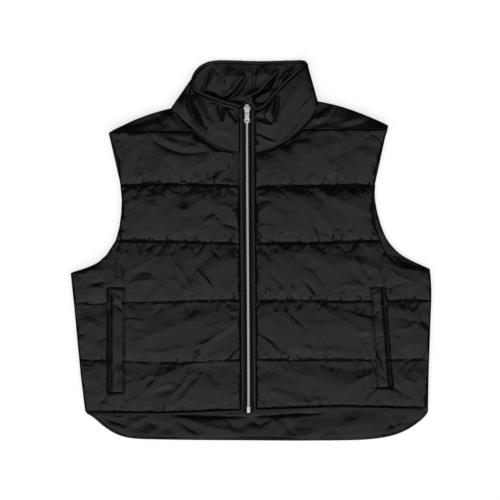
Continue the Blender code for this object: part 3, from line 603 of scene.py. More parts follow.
def front_sheet(side):
    """The front's cloth as an open sheet: its points, faces, and which points are stitched down."""
    node = "front_" + side
    sign = SIGN[side]
    low, high = box_of(node)
    outer = (low, high)[OUTER[side]][0]
    count = int(abs(outer - sign * ZIP_EDGE) / CELL)
    share = np.linspace(0.0, 1.0, count + 1)
    nominal = zip_x(0.0) + sign * ZIP_EDGE + (outer - zip_x(0.0) - sign * ZIP_EDGE) * share
    tip = tip_x(side)
    tops = np.array([reach(node, 1, x)[1] for x in np.where(sign * nominal > sign * tip, tip, nominal)])
    seams = [quilt_height(side, k, nominal, seam_side(side, k), nominal[0]) for k in range(5)] + [tops]
    rows = []
    for bay in range(len(seams) - 1):
        steps = round(float(np.median(seams[bay + 1] - seams[bay])) / CELL)
        rows += [(bay, k / steps) for k in range(steps)]
    rows.append((len(seams) - 2, 1.0))
    places, grid, stitched = [], [], []
    for bay, t in rows:
        y = seams[bay] + (seams[bay + 1] - seams[bay]) * t
        inner = zip_x(y) + sign * ZIP_EDGE
        x = inner + (outer - inner) * share
        edge_y = y[-1]
        for _ in range(3):
            edge_y = min(max(edge_y, low[1] + 0.05), high[1] - 0.05)
            edge_x = reach(node, 0, edge_y)[OUTER[side]]
            edge_y = float(np.interp(sign * edge_x, sign * x, y))
        inside = int(np.sum(sign * x < sign * edge_x - 0.4 * CELL))
        xs = np.append(x[:inside], edge_x)
        ys = np.append(y[:inside], edge_y)
        rim = np.minimum(np.abs(xs - edge_x), np.abs(xs - inner[0])) / PUFF_REACH
        puff = np.sin(np.pi / 2 * np.minimum(1.0, rim)) ** 0.7 * np.sin(np.pi * t) ** 0.6
        grid.append(range(len(places), len(places) + len(xs)))
        places += list(zip(xs, ys, SEAM_Z + PUFF * puff))
        sewn = t == 0.0 or t == 1.0
        stitched += [sewn or j in (0, len(xs) - 1) for j in range(len(xs))]
    faces = []
    for row, above in zip(grid, grid[1:]):
        paired = min(len(row), len(above)) - 1
        faces += [(row[j], row[j + 1], above[j + 1], above[j]) for j in range(paired)]
        faces += [(row[j], row[j + 1], above[-1]) for j in range(paired, len(row) - 1)]
        faces += [(row[-1], above[j + 1], above[j]) for j in range(paired, len(above) - 1)]
    if side == "left":
        faces = [face[::-1] for face in faces]
    return np.array(places), faces, np.array(stitched)


def puff_up(piece, stitched, seed):
    """Blow the cloth up between its stitched points with Blender's cloth simulation."""
    mesh = piece.data
    places = points_of(mesh)
    rng = np.random.default_rng(seed)
    places[:, 2] += np.where(stitched, 0.0, rng.normal(0.0, 0.25, len(places)))
    move_points(mesh, places)
    pins = piece.vertex_groups.new(name="stitched")
    pins.add(np.nonzero(stitched)[0].tolist(), 1.0, "REPLACE")
    cloth = piece.modifiers.new("cloth", "CLOTH")
    settings = cloth.settings
    settings.vertex_group_mass = "stitched"
    settings.quality = 5
    settings.mass = 0.3
    settings.tension_stiffness = 15.0
    settings.compression_stiffness = 15.0
    settings.shear_stiffness = 5.0
    settings.bending_stiffness = 1.0
    settings.use_pressure = True
    settings.uniform_pressure_force = 3.0
    settings.shrink_min = -0.045
    settings.effector_weights.gravity = 0.0
    cloth.collision_settings.use_collision = False
    cloth.collision_settings.use_self_collision = False
    last = 20
    cloth.point_cache.frame_end = last
    for number in range(1, last + 1):
        bpy.context.scene.frame_set(number)
    apply_modifier(piece, cloth)
    bpy.context.scene.frame_set(1)


FRONT_CREASES = {
    "left": (
        (-5, 4.5, 0, -298, -34, -280, -33.5, -260, -31),
        (-1.8, 2.5, 0, -203, 187, -211, 180, -219, 172),
        (-3.6, 7, 0.5, -165, 190, -151, 173, -131, 162, -112, 156, -93, 156, -66, 158),
        (2.2, 6, 0, -158, 189, -136, 175, -110, 167, -84, 166),
        (-1.6, 5, 0, -141, 184, -112, 176, -83, 169),
        (1.5, 3.5, 0.4, -168, 172, -178, 142, -190, 109),
        (-1.6, 5, 0, -140, 146, -124, 132, -109, 110),
        (-4, 8, 0, -109, 112, -109, 92, -110, 67),
        (1.6, 5, 0, -64, 110, -54, 119, -44, 128),
        (-3, 4, 0.3, -48, 44, -34, 40, -20, 35),
        (2.2, 5, 0, -60, 71, -34, 69, -20, 43),
        (-1.8, 5, 0, -66, 64, -54, 54, -45, 45),
        (-1.6, 4, 0, -198, 63, -192, 69, -185, 75),
        (-3.2, 4, 0, -220, 4, -217, -18, -214, -44),
        (-3, 1.8, 0.3, -208, -14, -205, -36, -204.5, -60),
        (-2, 1.8, 0, -229, -32, -227, -44, -226, -58),
        (1.6, 4, 0, -212, 2, -209, -20, -211, -48),
        (-1.8, 4, 0, -209, -12, -206, -30, -205, -50),
        (-2, 4, 0.3, -167, -2, -160, 6, -153, 13),
        (-2.6, 3.5, 0.4, -65, 12, -60, -1, -48, -14),
        (-2.4, 7, 0.4, -197, -52, -188, -40, -174, -35, -160, -37, -151, -46),
        (1.6, 4, 0, -202, -62, -190, -51, -172, -48, -152, -49),
        (2, 4.5, -0.3, -122, -20, -110, -35, -100, -54, -94, -70),
        (2.2, 4.5, -0.3, -91, -26, -73, -46, -59, -62),
        (-2, 3.5, 0, -76, -30, -66, -48, -52, -67, -47, -76),
        (1.6, 4, 0, -136, -57, -124, -46, -112, -58, -97, -72),
        (-1.8, 6, 0, -154, -54, -162, -66, -180, -79),
        (-2.2, 4, 0, -90, -82, -94, -94, -98, -106),
        (1.8, 5, 0, -45, -84, -34, -98, -20, -96),
        (-2, 3.5, 0, -44, -86, -36, -100, -22, -106),
        (-2, 3, 0, -204, -107, -194, -107, -185, -106),
        (-1.8, 4, 0, -198, -112, -186, -123, -168, -127),
        (1.6, 5, 0, -196, -102, -184, -112, -170, -112),
        (1.4, 8, 0, -172, -139, -141, -128, -118, -115),
        (2.6, 6, 0.4, -20, -113, -46, -131, -73, -148, -94, -153),
        (-1.6, 6, 0.2, -20, -122, -44, -140, -70, -156, -86, -164),
        (1.8, 5, 0, -27, -132, -54, -147, -83, -162, -94, -174),
        (1.6, 6, -0.4, -190, -171, -168, -162, -140, -162, -112, -157, -92, -153),
        (-1.6, 2, 0, -33, -173, -26, -166, -18, -159),
        (1.8, 5, 0, -180, -220, -171, -207, -160, -201, -148, -201),
        (-1.8, 7, 0, -168, -214, -158, -208, -146, -207),
        (1.6, 4.5, 0, -160, -223, -143, -217, -128, -214, -122, -222),
        (-1.8, 7, 0, -152, -228, -140, -225, -128, -224),
        (2, 4.5, 0, -90, -193, -104, -206, -120, -225, -140, -247),
        (2, 4.5, 0, -82, -204, -97, -221, -112, -238, -132, -249),
        (-1.8, 4, 0, -84, -199, -100, -214, -116, -232),
        (-2.2, 3, 0, -85, -182, -82, -190, -80, -198),
        (1.8, 4.5, 0, -70, -200, -64, -214, -56, -222, -50, -212),
        (-2.2, 3.5, 0, -182, -236, -177, -246, -171, -257),
        (1.8, 4, 0, -192, -250, -188, -240, -180, -234),
        (-2.6, 2.6, 0, -228, -227, -235, -236, -243, -245),
        (-2.6, 2.6, 0, -205, -227, -202, -234, -198, -242),
        (1.6, 4, 0, -38, -244, -32, -236, -26, -228),
        (-2.2, 3, 0, -258, -54, -245, -51, -231, -49),
        (1.6, 4, 0, -262, -66, -250, -60, -234, -60),
        (1.8, 5, 0, -266, -125, -257, -114, -245, -124),
        (-2.4, 3, 0, -279, -132, -273, -134, -265, -133),
        (-1.6, 3, 0, -246, -144, -238, -141, -229, -138),
        (-1.8, 5, 0, -268, -150, -262, -160, -262, -170),
        (1.6, 5, 0, -258, -200, -248, -208, -240, -222),
    ),
    "right": (
        (-2.6, 6, 0.3, 50, 162, 62, 173, 80, 178, 99, 179),
        (-1.6, 8, 0, 106, 134, 144, 154, 186, 172),
        (1.2, 9, 0, 60, 132, 104, 160, 150, 176),
        (-1.6, 6, 0, 178, 176, 192, 184, 206, 188),
        (1.6, 5, 0, 91, 108, 95, 116, 104, 121),
        (1.8, 6, 0, 122, 106, 125, 120, 133, 128),
        (2, 6, 0, 142, 106, 142, 120, 136, 130),
        (-1.8, 4.5, 0, 98, 50, 104, 34, 112, 14),
        (2.2, 5, 0, 92, 46, 102, 30, 110, 12),
        (2.2, 6, 0, 138, 34, 138, 25, 144, 16),
        (-1.6, 5, 0, 128, 34, 126, 24, 130, 14),
        (1.6, 5, 0, 160, 32, 174, 22, 184, 14),
        (1.8, 5, 0, 6, 48, 16, 64, 30, 76),
        (-2.8, 3, 0.3, 7, 29, 16, 23, 29, 14),
        (-2.4, 3.5, 0, 18, 9, 25, -4, 35, -16),
        (-2.2, 3, 0, 107, 11, 112, 2, 117, -6),
        (-2.2, 3, 0, 141, 10, 146, 3, 154, -4),
        (-2.2, 5, 0.3, 84, -24, 100, -32, 112, -48, 118, -56),
        (-2.4, 5, 0, 28, -33, 40, -44, 55, -61),
        (-2.6, 3.5, 0, 87, -49, 99, -62, 109, -88),
        (1.8, 4, 0, 80, -50, 92, -64, 100, -84),
        (-2.2, 4, 0, 159, -18, 166, -36, 184, -53),
        (2.2, 4, 0, 164, 8, 168, -14, 176, -38, 188, -56),
        (-2.2, 3.5, 0, 178, -24, 184, -34, 191, -46),
        (2, 5, 0, 136, -64, 146, -56, 166, -56, 191, -57),
        (-1.8, 4, 0, 142, -72, 164, -71, 191, -72),
        (-2.6, 3.5, 0, 210, 2, 208, -16, 206, -36),
        (-3.4, 1.8, 0, 212, -30, 213, -45, 213.5, -60),
        (-2.4, 1.8, 0, 191, -34, 192, -46, 193, -60),
        (1.8, 4.5, 0, 222, -30, 240, -44, 262, -50),
        (-2, 4, 0, 214, -54, 232, -54, 248, -50),
        (1.6, 5, 0, 246, -66, 262, -54, 282, -36),
        (-2.4, 3, 0, 9, -129, 33, -145, 49, -159, 56, -164),
        (2, 4, 0, 11, -134, 32, -151, 46, -166),
        (-2, 3, 0, 11, -139, 22, -154, 33, -171),
        (1.6, 6, -0.3, 48, -158, 76, -154, 107, -160, 134, -158, 166, -163),
        (-2, 3, 0, 65, -163, 70, -168, 74, -175),
        (-2, 3.5, 0, 196, -136, 182, -138, 170, -143),
        (1.8, 4.5, 0, 194, -132, 178, -130, 166, -134),
        (-1.8, 3, 0, 194, -142, 184, -146, 176, -152),
        (-2.4, 3, 0, 270, -108, 276, -113, 284, -119),
        (-1.6, 3.5, 0, 251, -114, 257, -119, 264, -124),
        (1.8, 4.5, 0, 226, -124, 244, -126, 260, -118, 274, -104),
        (-1.6, 4, 0, 227, -130, 234, -136, 240, -136),
        (1.6, 6, 0, 238, -158, 254, -150, 268, -154),
        (1.8, 4.5, 0, 24, -239, 35, -226, 46, -241),
        (-1.8, 4, 0, 36, -228, 40, -238, 48, -246),
        (-2, 3.5, 0, 83, -221, 87, -232, 92, -242),
        (1.8, 4.5, 0, 101, -224, 105, -234, 113, -246),
        (-1.8, 3.5, 0, 145, -243, 152, -234, 160, -223),
        (1.6, 5, 0, 163, -210, 184, -202, 202, -196),
        (-3, 3.2, 0, 201, -220, 190, -229, 177, -245),
        (-2.8, 3, 0, 223, -220, 233, -221, 247, -233),
        (-1.8, 3, 0, 205, -228, 204, -238, 203, -246),
        (1.8, 5, 0, 240, -202, 258, -212, 262, -226),
    ),
}


def gathered(along, off, spacing, depth, fade, rng):
    """Gathers at uneven spacing along a stitched line, dying out away from it; off is the distance."""
    knots = np.arange(-340.0, 340.0, spacing)
    knots += rng.uniform(-0.25, 0.25, len(knots)) * spacing
    heights = depth * rng.uniform(-1.0, 1.0, len(knots))
    lengths = fade * rng.uniform(0.5, 1.6, len(knots))
    slants = np.interp(knots, knots[::4], rng.normal(0.0, 0.35, len(knots[::4])))
    away = np.maximum(off, 0.0)
    moved = along + away * np.interp(along, knots, slants)
    faded = np.exp(-away / np.interp(along, knots, lengths)) * (1.0 - np.exp(-away / 0.9))
    return np.interp(moved, knots, heights) * faded


def wedges(seams, strengths, seed):
    """Short troughs at uneven spacing below each quilt seam, where the fuller cloth is drawn in."""
    rng = np.random.default_rng(seed)
    found = []
    for (xs, ys), strength in list(zip(seams, strengths))[1:]:
        x = xs.min() + rng.uniform(4.0, 12.0)
        while x < xs.max() - 5.0:
            y = float(np.interp(x, xs, ys))
            length = rng.uniform(8.0, 24.0)
            slant = rng.normal(-0.25, 0.35) * length
            path = (x, y + 2.0, x + slant * 0.5, y - length * 0.5, x + slant, y - length)
            found.append((-strength * rng.uniform(0.9, 2.8), rng.uniform(1.6, 3.4), 0.0, *path))
            x += rng.uniform(8.0, 26.0)
    return tuple(found)


def scallops(seams, strengths, seed):
    """Arched ridges over each quilt seam, where the gathered cloth stands up between stitches."""
    rng = np.random.default_rng(seed)
    found = []
    for (xs, ys), strength in zip(seams, strengths):
        x = xs.min() + rng.uniform(2.0, 8.0)
        while x < xs.max() - 12.0:
            y = float(np.interp(x, xs, ys))
            span = rng.uniform(6.0, 20.0)
            rise = span * rng.uniform(0.5, 1.1)
            peak = span * rng.uniform(0.25, 0.6)
            path = (x, y, x + peak * 0.7, y + rise * 0.8, x + peak, y + rise, x + span, y + rise * 0.1)
            found.append((strength * rng.uniform(0.8, 2.2), rng.uniform(1.8, 2.8), 0.0, *path))
            x += span * rng.uniform(0.8, 1.5)
    return tuple(found)


def close_below(piece, level, lines):
    """Turn the sheet's rim down to level, close it underneath and keep the seam lines sharp."""
    build = bmesh.new()
    build.from_mesh(piece.data)
    rim = [edge for edge in build.edges if edge.is_boundary]
    for drop in (0.45, 1.0):
        grown = bmesh.ops.extrude_edge_only(build, edges=rim)["geom"]
        rim = [item for item in grown if isinstance(item, bmesh.types.BMEdge) and item.is_boundary]
        for vert in {vert for edge in rim for vert in edge.verts}:
            vert.co.z += (level * MM - vert.co.z) * drop
    bmesh.ops.contextual_create(build, geom=rim)
    bmesh.ops.recalc_face_normals(build, faces=build.faces[:])
    for xs, ys in lines:
        for edge in build.edges:
            ends = [vert.co / MM for vert in edge.verts]
            if all(abs(end.y - np.interp(end.x, xs, ys)) < 0.2 for end in ends):
                edge.smooth = False
    build.to_mesh(piece.data)
    build.free()


def quilt_lines(side):
    """The x and y along each quilt seam of a front, hem first."""
    lines = []
    for seam, heights in enumerate(QUILTS[side]):
        x_side = seam_side(side, seam)
        x_zip = zip_x(heights[0]) + SIGN[side] * ZIP_EDGE
        xs = np.linspace(min(x_side, x_zip), max(x_side, x_zip), 60)
        lines.append((xs, quilt_height(side, seam, xs, x_side, x_zip)))
    return lines


def bay_heights(side, places, lines, press):
    """The puffed cloth's height once each bay is held to its crown, pressed, and lifted at the shoulder."""
    crown = np.full(len(places), CROWNS[-1])
    rise = np.ones(len(places))
    for seam in range(4, 0, -1):
        below = np.interp(places[:, 0], *lines[seam]) - places[:, 1]
        least = RISES[side][seam - 1]
        share = least + (1.0 - least) * np.clip(below / RISE_RUN, 0.0, 1.0)
        crown[below > 0.0] = CROWNS[seam - 1]
        rise = np.where(below > 0.0, share, rise)
    top_x = np.linspace(*sorted((tip_x(side), zip_x(0.0) + SIGN[side] * ZIP_EDGE)), 80)
    top_y = np.array([reach("front_" + side, 1, x)[1] for x in top_x])
    under_top = np.interp(places[:, 0], top_x, top_y) - places[:, 1]
    lifted = SHOULDER_LIFT * np.clip(1.0 - under_top / SHOULDER_RUN, 0.0, 1.0) ** 1.5
    lifted *= ease(np.clip((SIGN[side] * places[:, 0] - LIFT_FROM) / LIFT_RUN, 0.0, 1.0))
    return SEAM_Z + crown * np.tanh((places[:, 2] - SEAM_Z) / crown) * press * rise + lifted


fronts = {}
seam_lines = {}
for number, side in enumerate(("left", "right")):
    sheet_places, sheet_faces, stitched = front_sheet(side)
    sheet_mesh = bpy.data.meshes.new("front_" + side)
    sheet_mesh.from_pydata((sheet_places * MM).tolist(), [], sheet_faces)
    front = new_piece("front_" + side + "_cloth", sheet_mesh, SHELL)
    puff_up(front, stitched, seed=11 + number)
    puffed = points_of(front.data)
    puffed[:, 2] = SEAM_Z + np.maximum(puffed[:, 2] - SEAM_Z, 0.0) * PUFF_KEPT
    move_points(front.data, puffed)
    finish_with(front, "SUBSURF", levels=1, render_levels=1)

    places = points_of(front.data)
    lines = seam_lines[side] = quilt_lines(side)
    welt_low, welt_high = WELT_BOX[side]
    beside = np.maximum(welt_low[0] - places[:, 0], places[:, 0] - welt_high[0])
    beyond = np.maximum(welt_low[1] - places[:, 1], places[:, 1] - welt_high[1])
    under_welt = 1.0 - ease(np.clip(np.maximum(beside, beyond) / WELT_SOFT + 0.3, 0.0, 1.0))
    places[:, 2] = bay_heights(side, places, lines, 1.0 - (1.0 - WELT_PRESS) * under_welt)
    bumps = relief(places, FRONT_CREASES[side] + wedges(lines, GATHERS[side], seed=31 + number)
                   + scallops(lines, GATHERS[side], seed=81 + number))
    turn = CRUMPLE_TURN[side]
    bumps += facets(places, size=(46.0, 20.0), turn=turn, height=1.0, seed=41 + number)
    bumps += facets(places, size=(19.0, 9.0), turn=turn - 40.0, height=0.28, seed=51 + number)
    rng = np.random.default_rng(61 + number)
    for (xs, ys), depth in zip(lines, SEAM_GROOVES):
        above = places[:, 1] - np.interp(places[:, 0], xs, ys)
        bumps += grooved(above, depth, SEAM_SPREAD, power=1.2)
        bumps += (gathered(places[:, 0], above, spacing=5.5, depth=2.0, fade=8.0, rng=rng)
                  + gathered(places[:, 0], -above, spacing=6.0, depth=1.4, fade=5.0, rng=rng))
    build = bmesh.new()
    build.from_mesh(front.data)
    rim = [vert.co / MM for vert in build.verts if vert.is_boundary]
    build.free()
    rim_gap = from_rim(places, rim)
    bumps += (rolled(rim_gap, run=2.6, drop=2.4)
              + gathered(places[:, 1], rim_gap, spacing=6.0, depth=1.3, fade=6.0, rng=rng))
    welt_ys = np.linspace(welt_low[1] + 0.2, welt_high[1] - 0.2, 40)
    welt_spans = np.array([reach("welt_" + side, 0, y) for y in welt_ys])
    for end, outwards in enumerate((-1.0, 1.0)):
        off = places[:, 0] - np.interp(places[:, 1], welt_ys, welt_spans[:, end]) - outwards * 0.7
        bumps += grooved(off, *WELT_GROOVES[side][end]) * (beyond < 1.0)
    for y in (welt_low[1], welt_high[1]):
        bumps += grooved(places[:, 1] - y, *WELT_END_GROOVE) * (beside < 1.0)
    places[:, 2] = np.maximum(places[:, 2] + bumps, FRONT_BASE + LEAST_THICK)
    move_points(front.data, places)
    close_below(front, FRONT_BASE, lines)
    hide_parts("front_" + side)
    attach(front, "vest")
    fronts[side] = front


# ---- Welts ---------------------------------------------------------
# A folded strip of the same nylon stands over each slanted pocket mouth. It lies on the front, stitched down
# along its inner side and across both ends, and is open along its outer side.


def ground(piece):
    """A tree for finding the height of a piece under a point."""
    return BVHTree.FromObject(piece, bpy.context.evaluated_depsgraph_get())


OVER_VEST = 100.0


def height_on(tree, x, y):
    hit = tree.ray_cast(Vector((x, y, OVER_VEST)) * MM, Vector((0.0, 0.0, -1.0)))[0]
    return hit.z / MM if hit else None


WELT_CREASES = {
    "left": (
        (-1.1, 2, 0, -222, -64, -213, -70, -205, -78),
        (-1, 1.8, 0, -222, -82, -212, -90, -205, -98),
        (0.8, 2.5, 0, -220, -74, -212, -80, -206, -88),
        (-0.9, 1.8, 0, -206, -128, -211, -136, -214, -150),
        (-1, 1.8, 0, -217, -216, -211, -206, -206, -196),
        (0.8, 2.5, 0, -221, -204, -214, -192, -208, -180),
        (-0.9, 1.8, 0, -219, -190, -213, -178, -207, -168),
    ),
    "right": (
        (-1.2, 2, 0, 195, -68, 201, -64, 210, -61),
        (0.8, 2.5, 0, 198, -90, 206, -82, 212, -74),
        (-1, 2, 0, 196, -108, 200, -98, 208, -96),
        (-1.1, 2, 0, 198, -140, 206, -136, 212, -138),
        (-1, 1.8, 0, 199, -150, 204, -146, 206, -138),
        (-1, 1.8, 0, 202, -172, 206, -180, 211, -190),
        (0.9, 2.5, 0, 201, -160, 207, -172, 214, -186),
        (-1, 1.8, 0, 204, -190, 209, -200, 216, -208),
    ),
}
WELT_ROWS = 110
WELT_COLUMNS = 14
WELT_OVER = 0.3  # between the front and the strip's lower side
WELT_LEAST = 0.9  # its least thickness, with more in its middle and more again to its open side
WELT_CROWN = 2.4
WELT_OPEN = 0.6
WELT_FOLD_AT = 0.3  # the share of its width over which its open side rounds down
WELT_END_SHARE = 0.55  # of its thickness at its two sewn ends
WELT_LIFT = 2.4  # how strongly its creases show
for side, front in fronts.items():
    low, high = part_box("welt_" + side)
    tree = ground(front)
    ys = np.linspace(low.y / MM + 0.01, high.y / MM - 0.01, WELT_ROWS)
    spans = [reach("welt_" + side, 0, y) for y in ys]
    beneath = np.array([[height_on(tree, x, y) for x in np.linspace(a, b, WELT_COLUMNS)]
                        for y, (a, b) in zip(ys, spans)])
    smooth = beneath.copy()
    for grid in (smooth, smooth.T) * 12:
        grid[:] = (np.vstack([grid[:1], grid[:-1]]) + grid + np.vstack([grid[1:], grid[-1:]])) / 3.0
    across = np.linspace(0.0, 1.0, WELT_COLUMNS)
    open_side = across if side == "right" else 1.0 - across
    thick = WELT_LEAST + WELT_CROWN * np.sin(np.pi * across) ** 0.6 + WELT_OPEN * open_side
    thick *= ease(np.clip((1.0 - open_side) / WELT_FOLD_AT, 0.0, 1.0))
    build = bmesh.new()
    skins = []
    for part in ("under", "over"):
        skin = []
        for i, (y, (a, b)) in enumerate(zip(ys, spans)):
            xs = np.linspace(a, b, WELT_COLUMNS)
            row = np.stack([xs, np.full(WELT_COLUMNS, y), beneath[i] + WELT_OVER], 1)
            if part == "over":
                end = min(1.0, min(i, WELT_ROWS - 1 - i) / 3.0)
                lift = WELT_LIFT * relief(row, WELT_CREASES[side])
                kept = WELT_END_SHARE + (1.0 - WELT_END_SHARE) * end
                row[:, 2] = np.maximum(smooth[i] + thick * kept + lift, beneath[i] + WELT_LEAST)
            skin.append([build.verts.new(Vector(spot) * MM) for spot in row.tolist()])
        skins.append(skin)
    under_skin, over_skin = skins
    for i in range(WELT_ROWS - 1):
        for j in range(WELT_COLUMNS - 1):
            for low_row, high_row in ((over_skin[i], over_skin[i + 1]), (under_skin[i + 1], under_skin[i])):
                build.faces.new([low_row[j], low_row[j + 1], high_row[j + 1], high_row[j]])
    bmesh.ops.bridge_loops(build, edges=[edge for edge in build.edges if edge.is_boundary])
    bmesh.ops.recalc_face_normals(build, faces=build.faces[:])
    welt_mesh = bpy.data.meshes.new("welt_" + side)
    build.to_mesh(welt_mesh)
    build.free()
    welt = new_piece("welt_" + side + "_cloth", welt_mesh, SHELL)
    finish_with(welt, "SUBSURF", levels=1, render_levels=1)
    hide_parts("welt_" + side)
    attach(welt, "vest")


# ---- Collar --------------------------------------------------------
# A tall stand collar, one padded band from zip edge to zip edge. Its front half has fallen forward over the
# fronts, so its outside shows there and its inside shows behind, with deep folds where it turns.

COLLAR_OUTSIDE = (
    (-5.5, 5, 0, -99, 264, -101, 244, -92, 212, -69, 187),
    (4, 7, 0, -90, 250, -87, 236, -78, 215, -66, 194),
    (-2, 5, 0, -78, 250, -72, 232, -66, 216, -58, 202),
    (2.4, 4, 0, -106, 250, -108, 234, -100, 214),
    (-5, 4, 0, -52, 234, -49, 222, -46, 207),
    (2.2, 5, 0, -42, 228, -38, 216, -34, 206),
    (-3, 4, 0, -66, 240, -48, 232, -30, 227, -20, 225),
    (-4, 3, 0, -34, 224, -28, 214, -21, 205),
    (-3, 2.6, 0, -26, 224, -21, 216, -18, 210),
    (-1.4, 4, 0, -52, 190, -40, 180, -32, 166),
    (1.4, 6, 0, -70, 196, -50, 190, -30, 188),
    (-6, 4, 0, 43, 254, 42, 238, 40, 222, 36, 206),
    (3.6, 6, 0, 40, 247, 34, 234, 27, 221, 20, 216),
    (-5, 3, 0, 8, 214, 20, 208, 35, 205),
    (2.4, 3, 0, 10, 207, 22, 202, 34, 199),
    (-2.4, 2.2, 0, 10, 190, 22, 183, 37, 176),
    (2, 3.2, 0, 10, 184, 26, 176, 44, 171),
    (1.8, 2.6, 0, 13, 181, 13, 172, 12, 163),
    (-3.6, 2.2, 0, 2, 196, 7, 188, 12, 184),
    (-3.6, 2, 0, 2, 182, 6, 176, 8, 168),
    (-2.4, 1.8, 0, 1, 229, 8, 225, 15, 224),
    (-1.8, 9, 0.2, 50, 198, 64, 225, 82, 258),
    (1.6, 8, 0, 34, 192, 52, 226, 70, 262),
    (-1.4, 6, 0, 68, 194, 86, 220, 94, 250),
)
COLLAR_INSIDE = (
    (2.8, 13, 0, -58, 280, -20, 279, 20, 281, 50, 288),
    (-5, 7, 0, -82, 256, -62, 246, -40, 238, -12, 233),
    (-5, 7, 0, 2, 238, 16, 242, 30, 254, 42, 268),
    (-4.5, 4, 0, -66, 297, -70, 282, -75, 264, -86, 248),
    (1.8, 5, 0, -56, 296, -60, 280, -68, 262),
    (-2, 3, 0, -64, 297, -48, 278, -45, 263, -53, 244),
    (2.6, 7, 0, -30, 292, -38, 274, -44, 258),
    (3.6, 5, 0, -9, 284, -24, 266, -40, 248, -54, 240),
    (-5.5, 3.2, 0, -4, 284, -8, 276, -22, 254, -45, 238),
    (-5.5, 5, 0, 8, 304, 6, 286, 4, 268, 2, 252),
    (4, 4.4, 0, 49, 289, 41, 284, 25, 270, 15, 257, 2, 250, -10, 244, -7, 238),
    (-5, 5, 0, 48, 292, 44, 281, 37, 268, 30, 258),
    (2.6, 3.4, 0, 62, 292, 54, 280, 46, 268),
    (-3, 2.4, 0, 70, 299, 66, 292, 58, 286),
    (-5, 6, 0, 4, 240, 17, 244, 32, 252),
    (1.8, 5, 0, 16, 294, 22, 284, 26, 276),
)
COLLAR_SPLIT = 10.0  # height between the back half's layer and the front half's
COLLAR_LIFT = 1.2  # how strongly the creases show
# The back half grows a little past these places in y, over these runs: up at its top, down at its foot.
TOP_FROM, TOP_RUN, TOP_GROWS = 284.0, 14.0, 1.8
FOOT_FROM, FOOT_RUN, FOOT_GROWS = 229.0, 8.0, 2.0

collar = copy_of("collar", "collar_cloth", SHELL)
refine(collar, 4, rim=0.8)
collar_places = points_of(collar.data)
collar_slopes = normals_of(collar.data)[:, 2]
collar_up = facing_up(collar_slopes, 2.5)
in_front = collar_places[:, 2] > COLLAR_SPLIT
outside, inside = relief(collar_places, COLLAR_OUTSIDE), relief(collar_places, COLLAR_INSIDE)
lift = COLLAR_LIFT * np.where(in_front, outside, inside)
lift += facets(collar_places, size=(36.0, 13.0), turn=60.0, height=0.8, seed=71)
for half in (in_front, ~in_front):
    half_places = collar_places[half]
    half_gap = from_rim(half_places, upright(half_places, collar_slopes[half], 0.2))
    lift[half] += rolled(half_gap, run=2.6, drop=2.2)
sag = np.where(in_front, np.minimum(lift, 0.0), 0.0)
collar_places[:, 2] += collar_up * lift + (1.0 - collar_up) * sag
stretch = TOP_GROWS * np.clip((collar_places[:, 1] - TOP_FROM) / TOP_RUN, 0.0, 1.0)
stretch -= FOOT_GROWS * np.clip((FOOT_FROM - collar_places[:, 1]) / FOOT_RUN, 0.0, 1.0)
collar_places[:, 1] += np.where(in_front, 0.0, stretch)
collar_places[:, 2] = np.maximum(collar_places[:, 2], 0.3)
move_points(collar.data, collar_places)
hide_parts("collar")
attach(collar, "vest")


# ---- Rolled edges --------------------------------------------------
# The shell rolls over a narrow stitched hem along the fronts, up both sides of the zip and round the
# collar's top. Each roll is pinched a little by its stitching.

EDGE = nylon("edge_nylon", (0.0062, 0.0064, 0.0074), (0.0036, 0.0037, 0.0044),
             roughness=0.4, pitch=0.5, rumple=0.6)
EDGE_SWELL = 0.5  # how far a roll stands out from its CAD piece
EDGE_PINCH = 0.25  # how much more or less of that the stitching leaves
EDGE_FLAT = 0.7  # how much of its height its own weight takes
ZIP_SIDE_FROM = -245.0  # above this y a front's roll is wider towards the zip
ZIP_SIDE_WIDER = 1.1
NECK_FROM, NECK_RUN, NECK_GROWS = 210.0, 16.0, 2.5  # and grows up to the collar past this y


def gathers(places, size):
    """An uneven ripple over a piece, from -1 to 1, with the given length."""
    x, y, z = (places / size).T
    wave = np.sin(x * 3.1 + 1.3 * np.sin(y * 1.7)) + np.sin(y * 3.7 + 1.1 * np.sin(x * 2.3 + 0.6))
    return (wave + np.sin((x + y + z) * 5.3)) / 3.0


for node in ("front_edge_left", "front_edge_right", "collar_edge"):
    edge = copy_of(node, node + "_cloth", EDGE)
    refine(edge, 3)
    places = points_of(edge.data)
    normals = normals_of(edge.data)
    places += normals * (EDGE_SWELL + EDGE_PINCH * gathers(places, 9.0)[:, None])
    places[:, 2] -= EDGE_FLAT * np.maximum(normals[:, 2], 0.0)
    if node != "collar_edge":
        inwards = np.sign(zip_x(places[:, 1]) - places[:, 0])
        beside_zip = np.clip((places[:, 1] - ZIP_SIDE_FROM) / 6.0, 0.0, 1.0)
        places[:, 0] += ZIP_SIDE_WIDER * inwards * beside_zip * np.maximum(normals[:, 0] * inwards, 0.0)
        places[:, 1] += NECK_GROWS * np.clip((places[:, 1] - NECK_FROM) / NECK_RUN, 0.0, 1.0)
    move_points(edge.data, places)
    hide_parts(node)
    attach(edge, "vest")


# ---- Zip -----------------------------------------------------------
# Two woven tapes carry a closed chain of silver metal teeth. A box and pin end it at the hem, and the slider
# stands at the top with its pull hanging towards the hem.

TOOTH_PITCH = 2.5
TOOTH_SIZE = (1.3, 2.2, 2.3)
TOOTH_HEAD = 0.9
TOOTH_BACK = 0.85  # from the chain's middle line to the middle of a tooth's block
TOOTH_BEVEL = 0.08
CHAIN_ENDS = (-248.0, 222.0)
ZIP_Z = (12.3, 17.0)
ZIP_RISE_FROM = 130.0


def zip_z(y):
    t = np.clip((y - ZIP_RISE_FROM) / (ZIP_ENDS[1] - ZIP_RISE_FROM), 0.0, 1.0)
    return ZIP_Z[0] + (ZIP_Z[1] - ZIP_Z[0]) * ease(t)


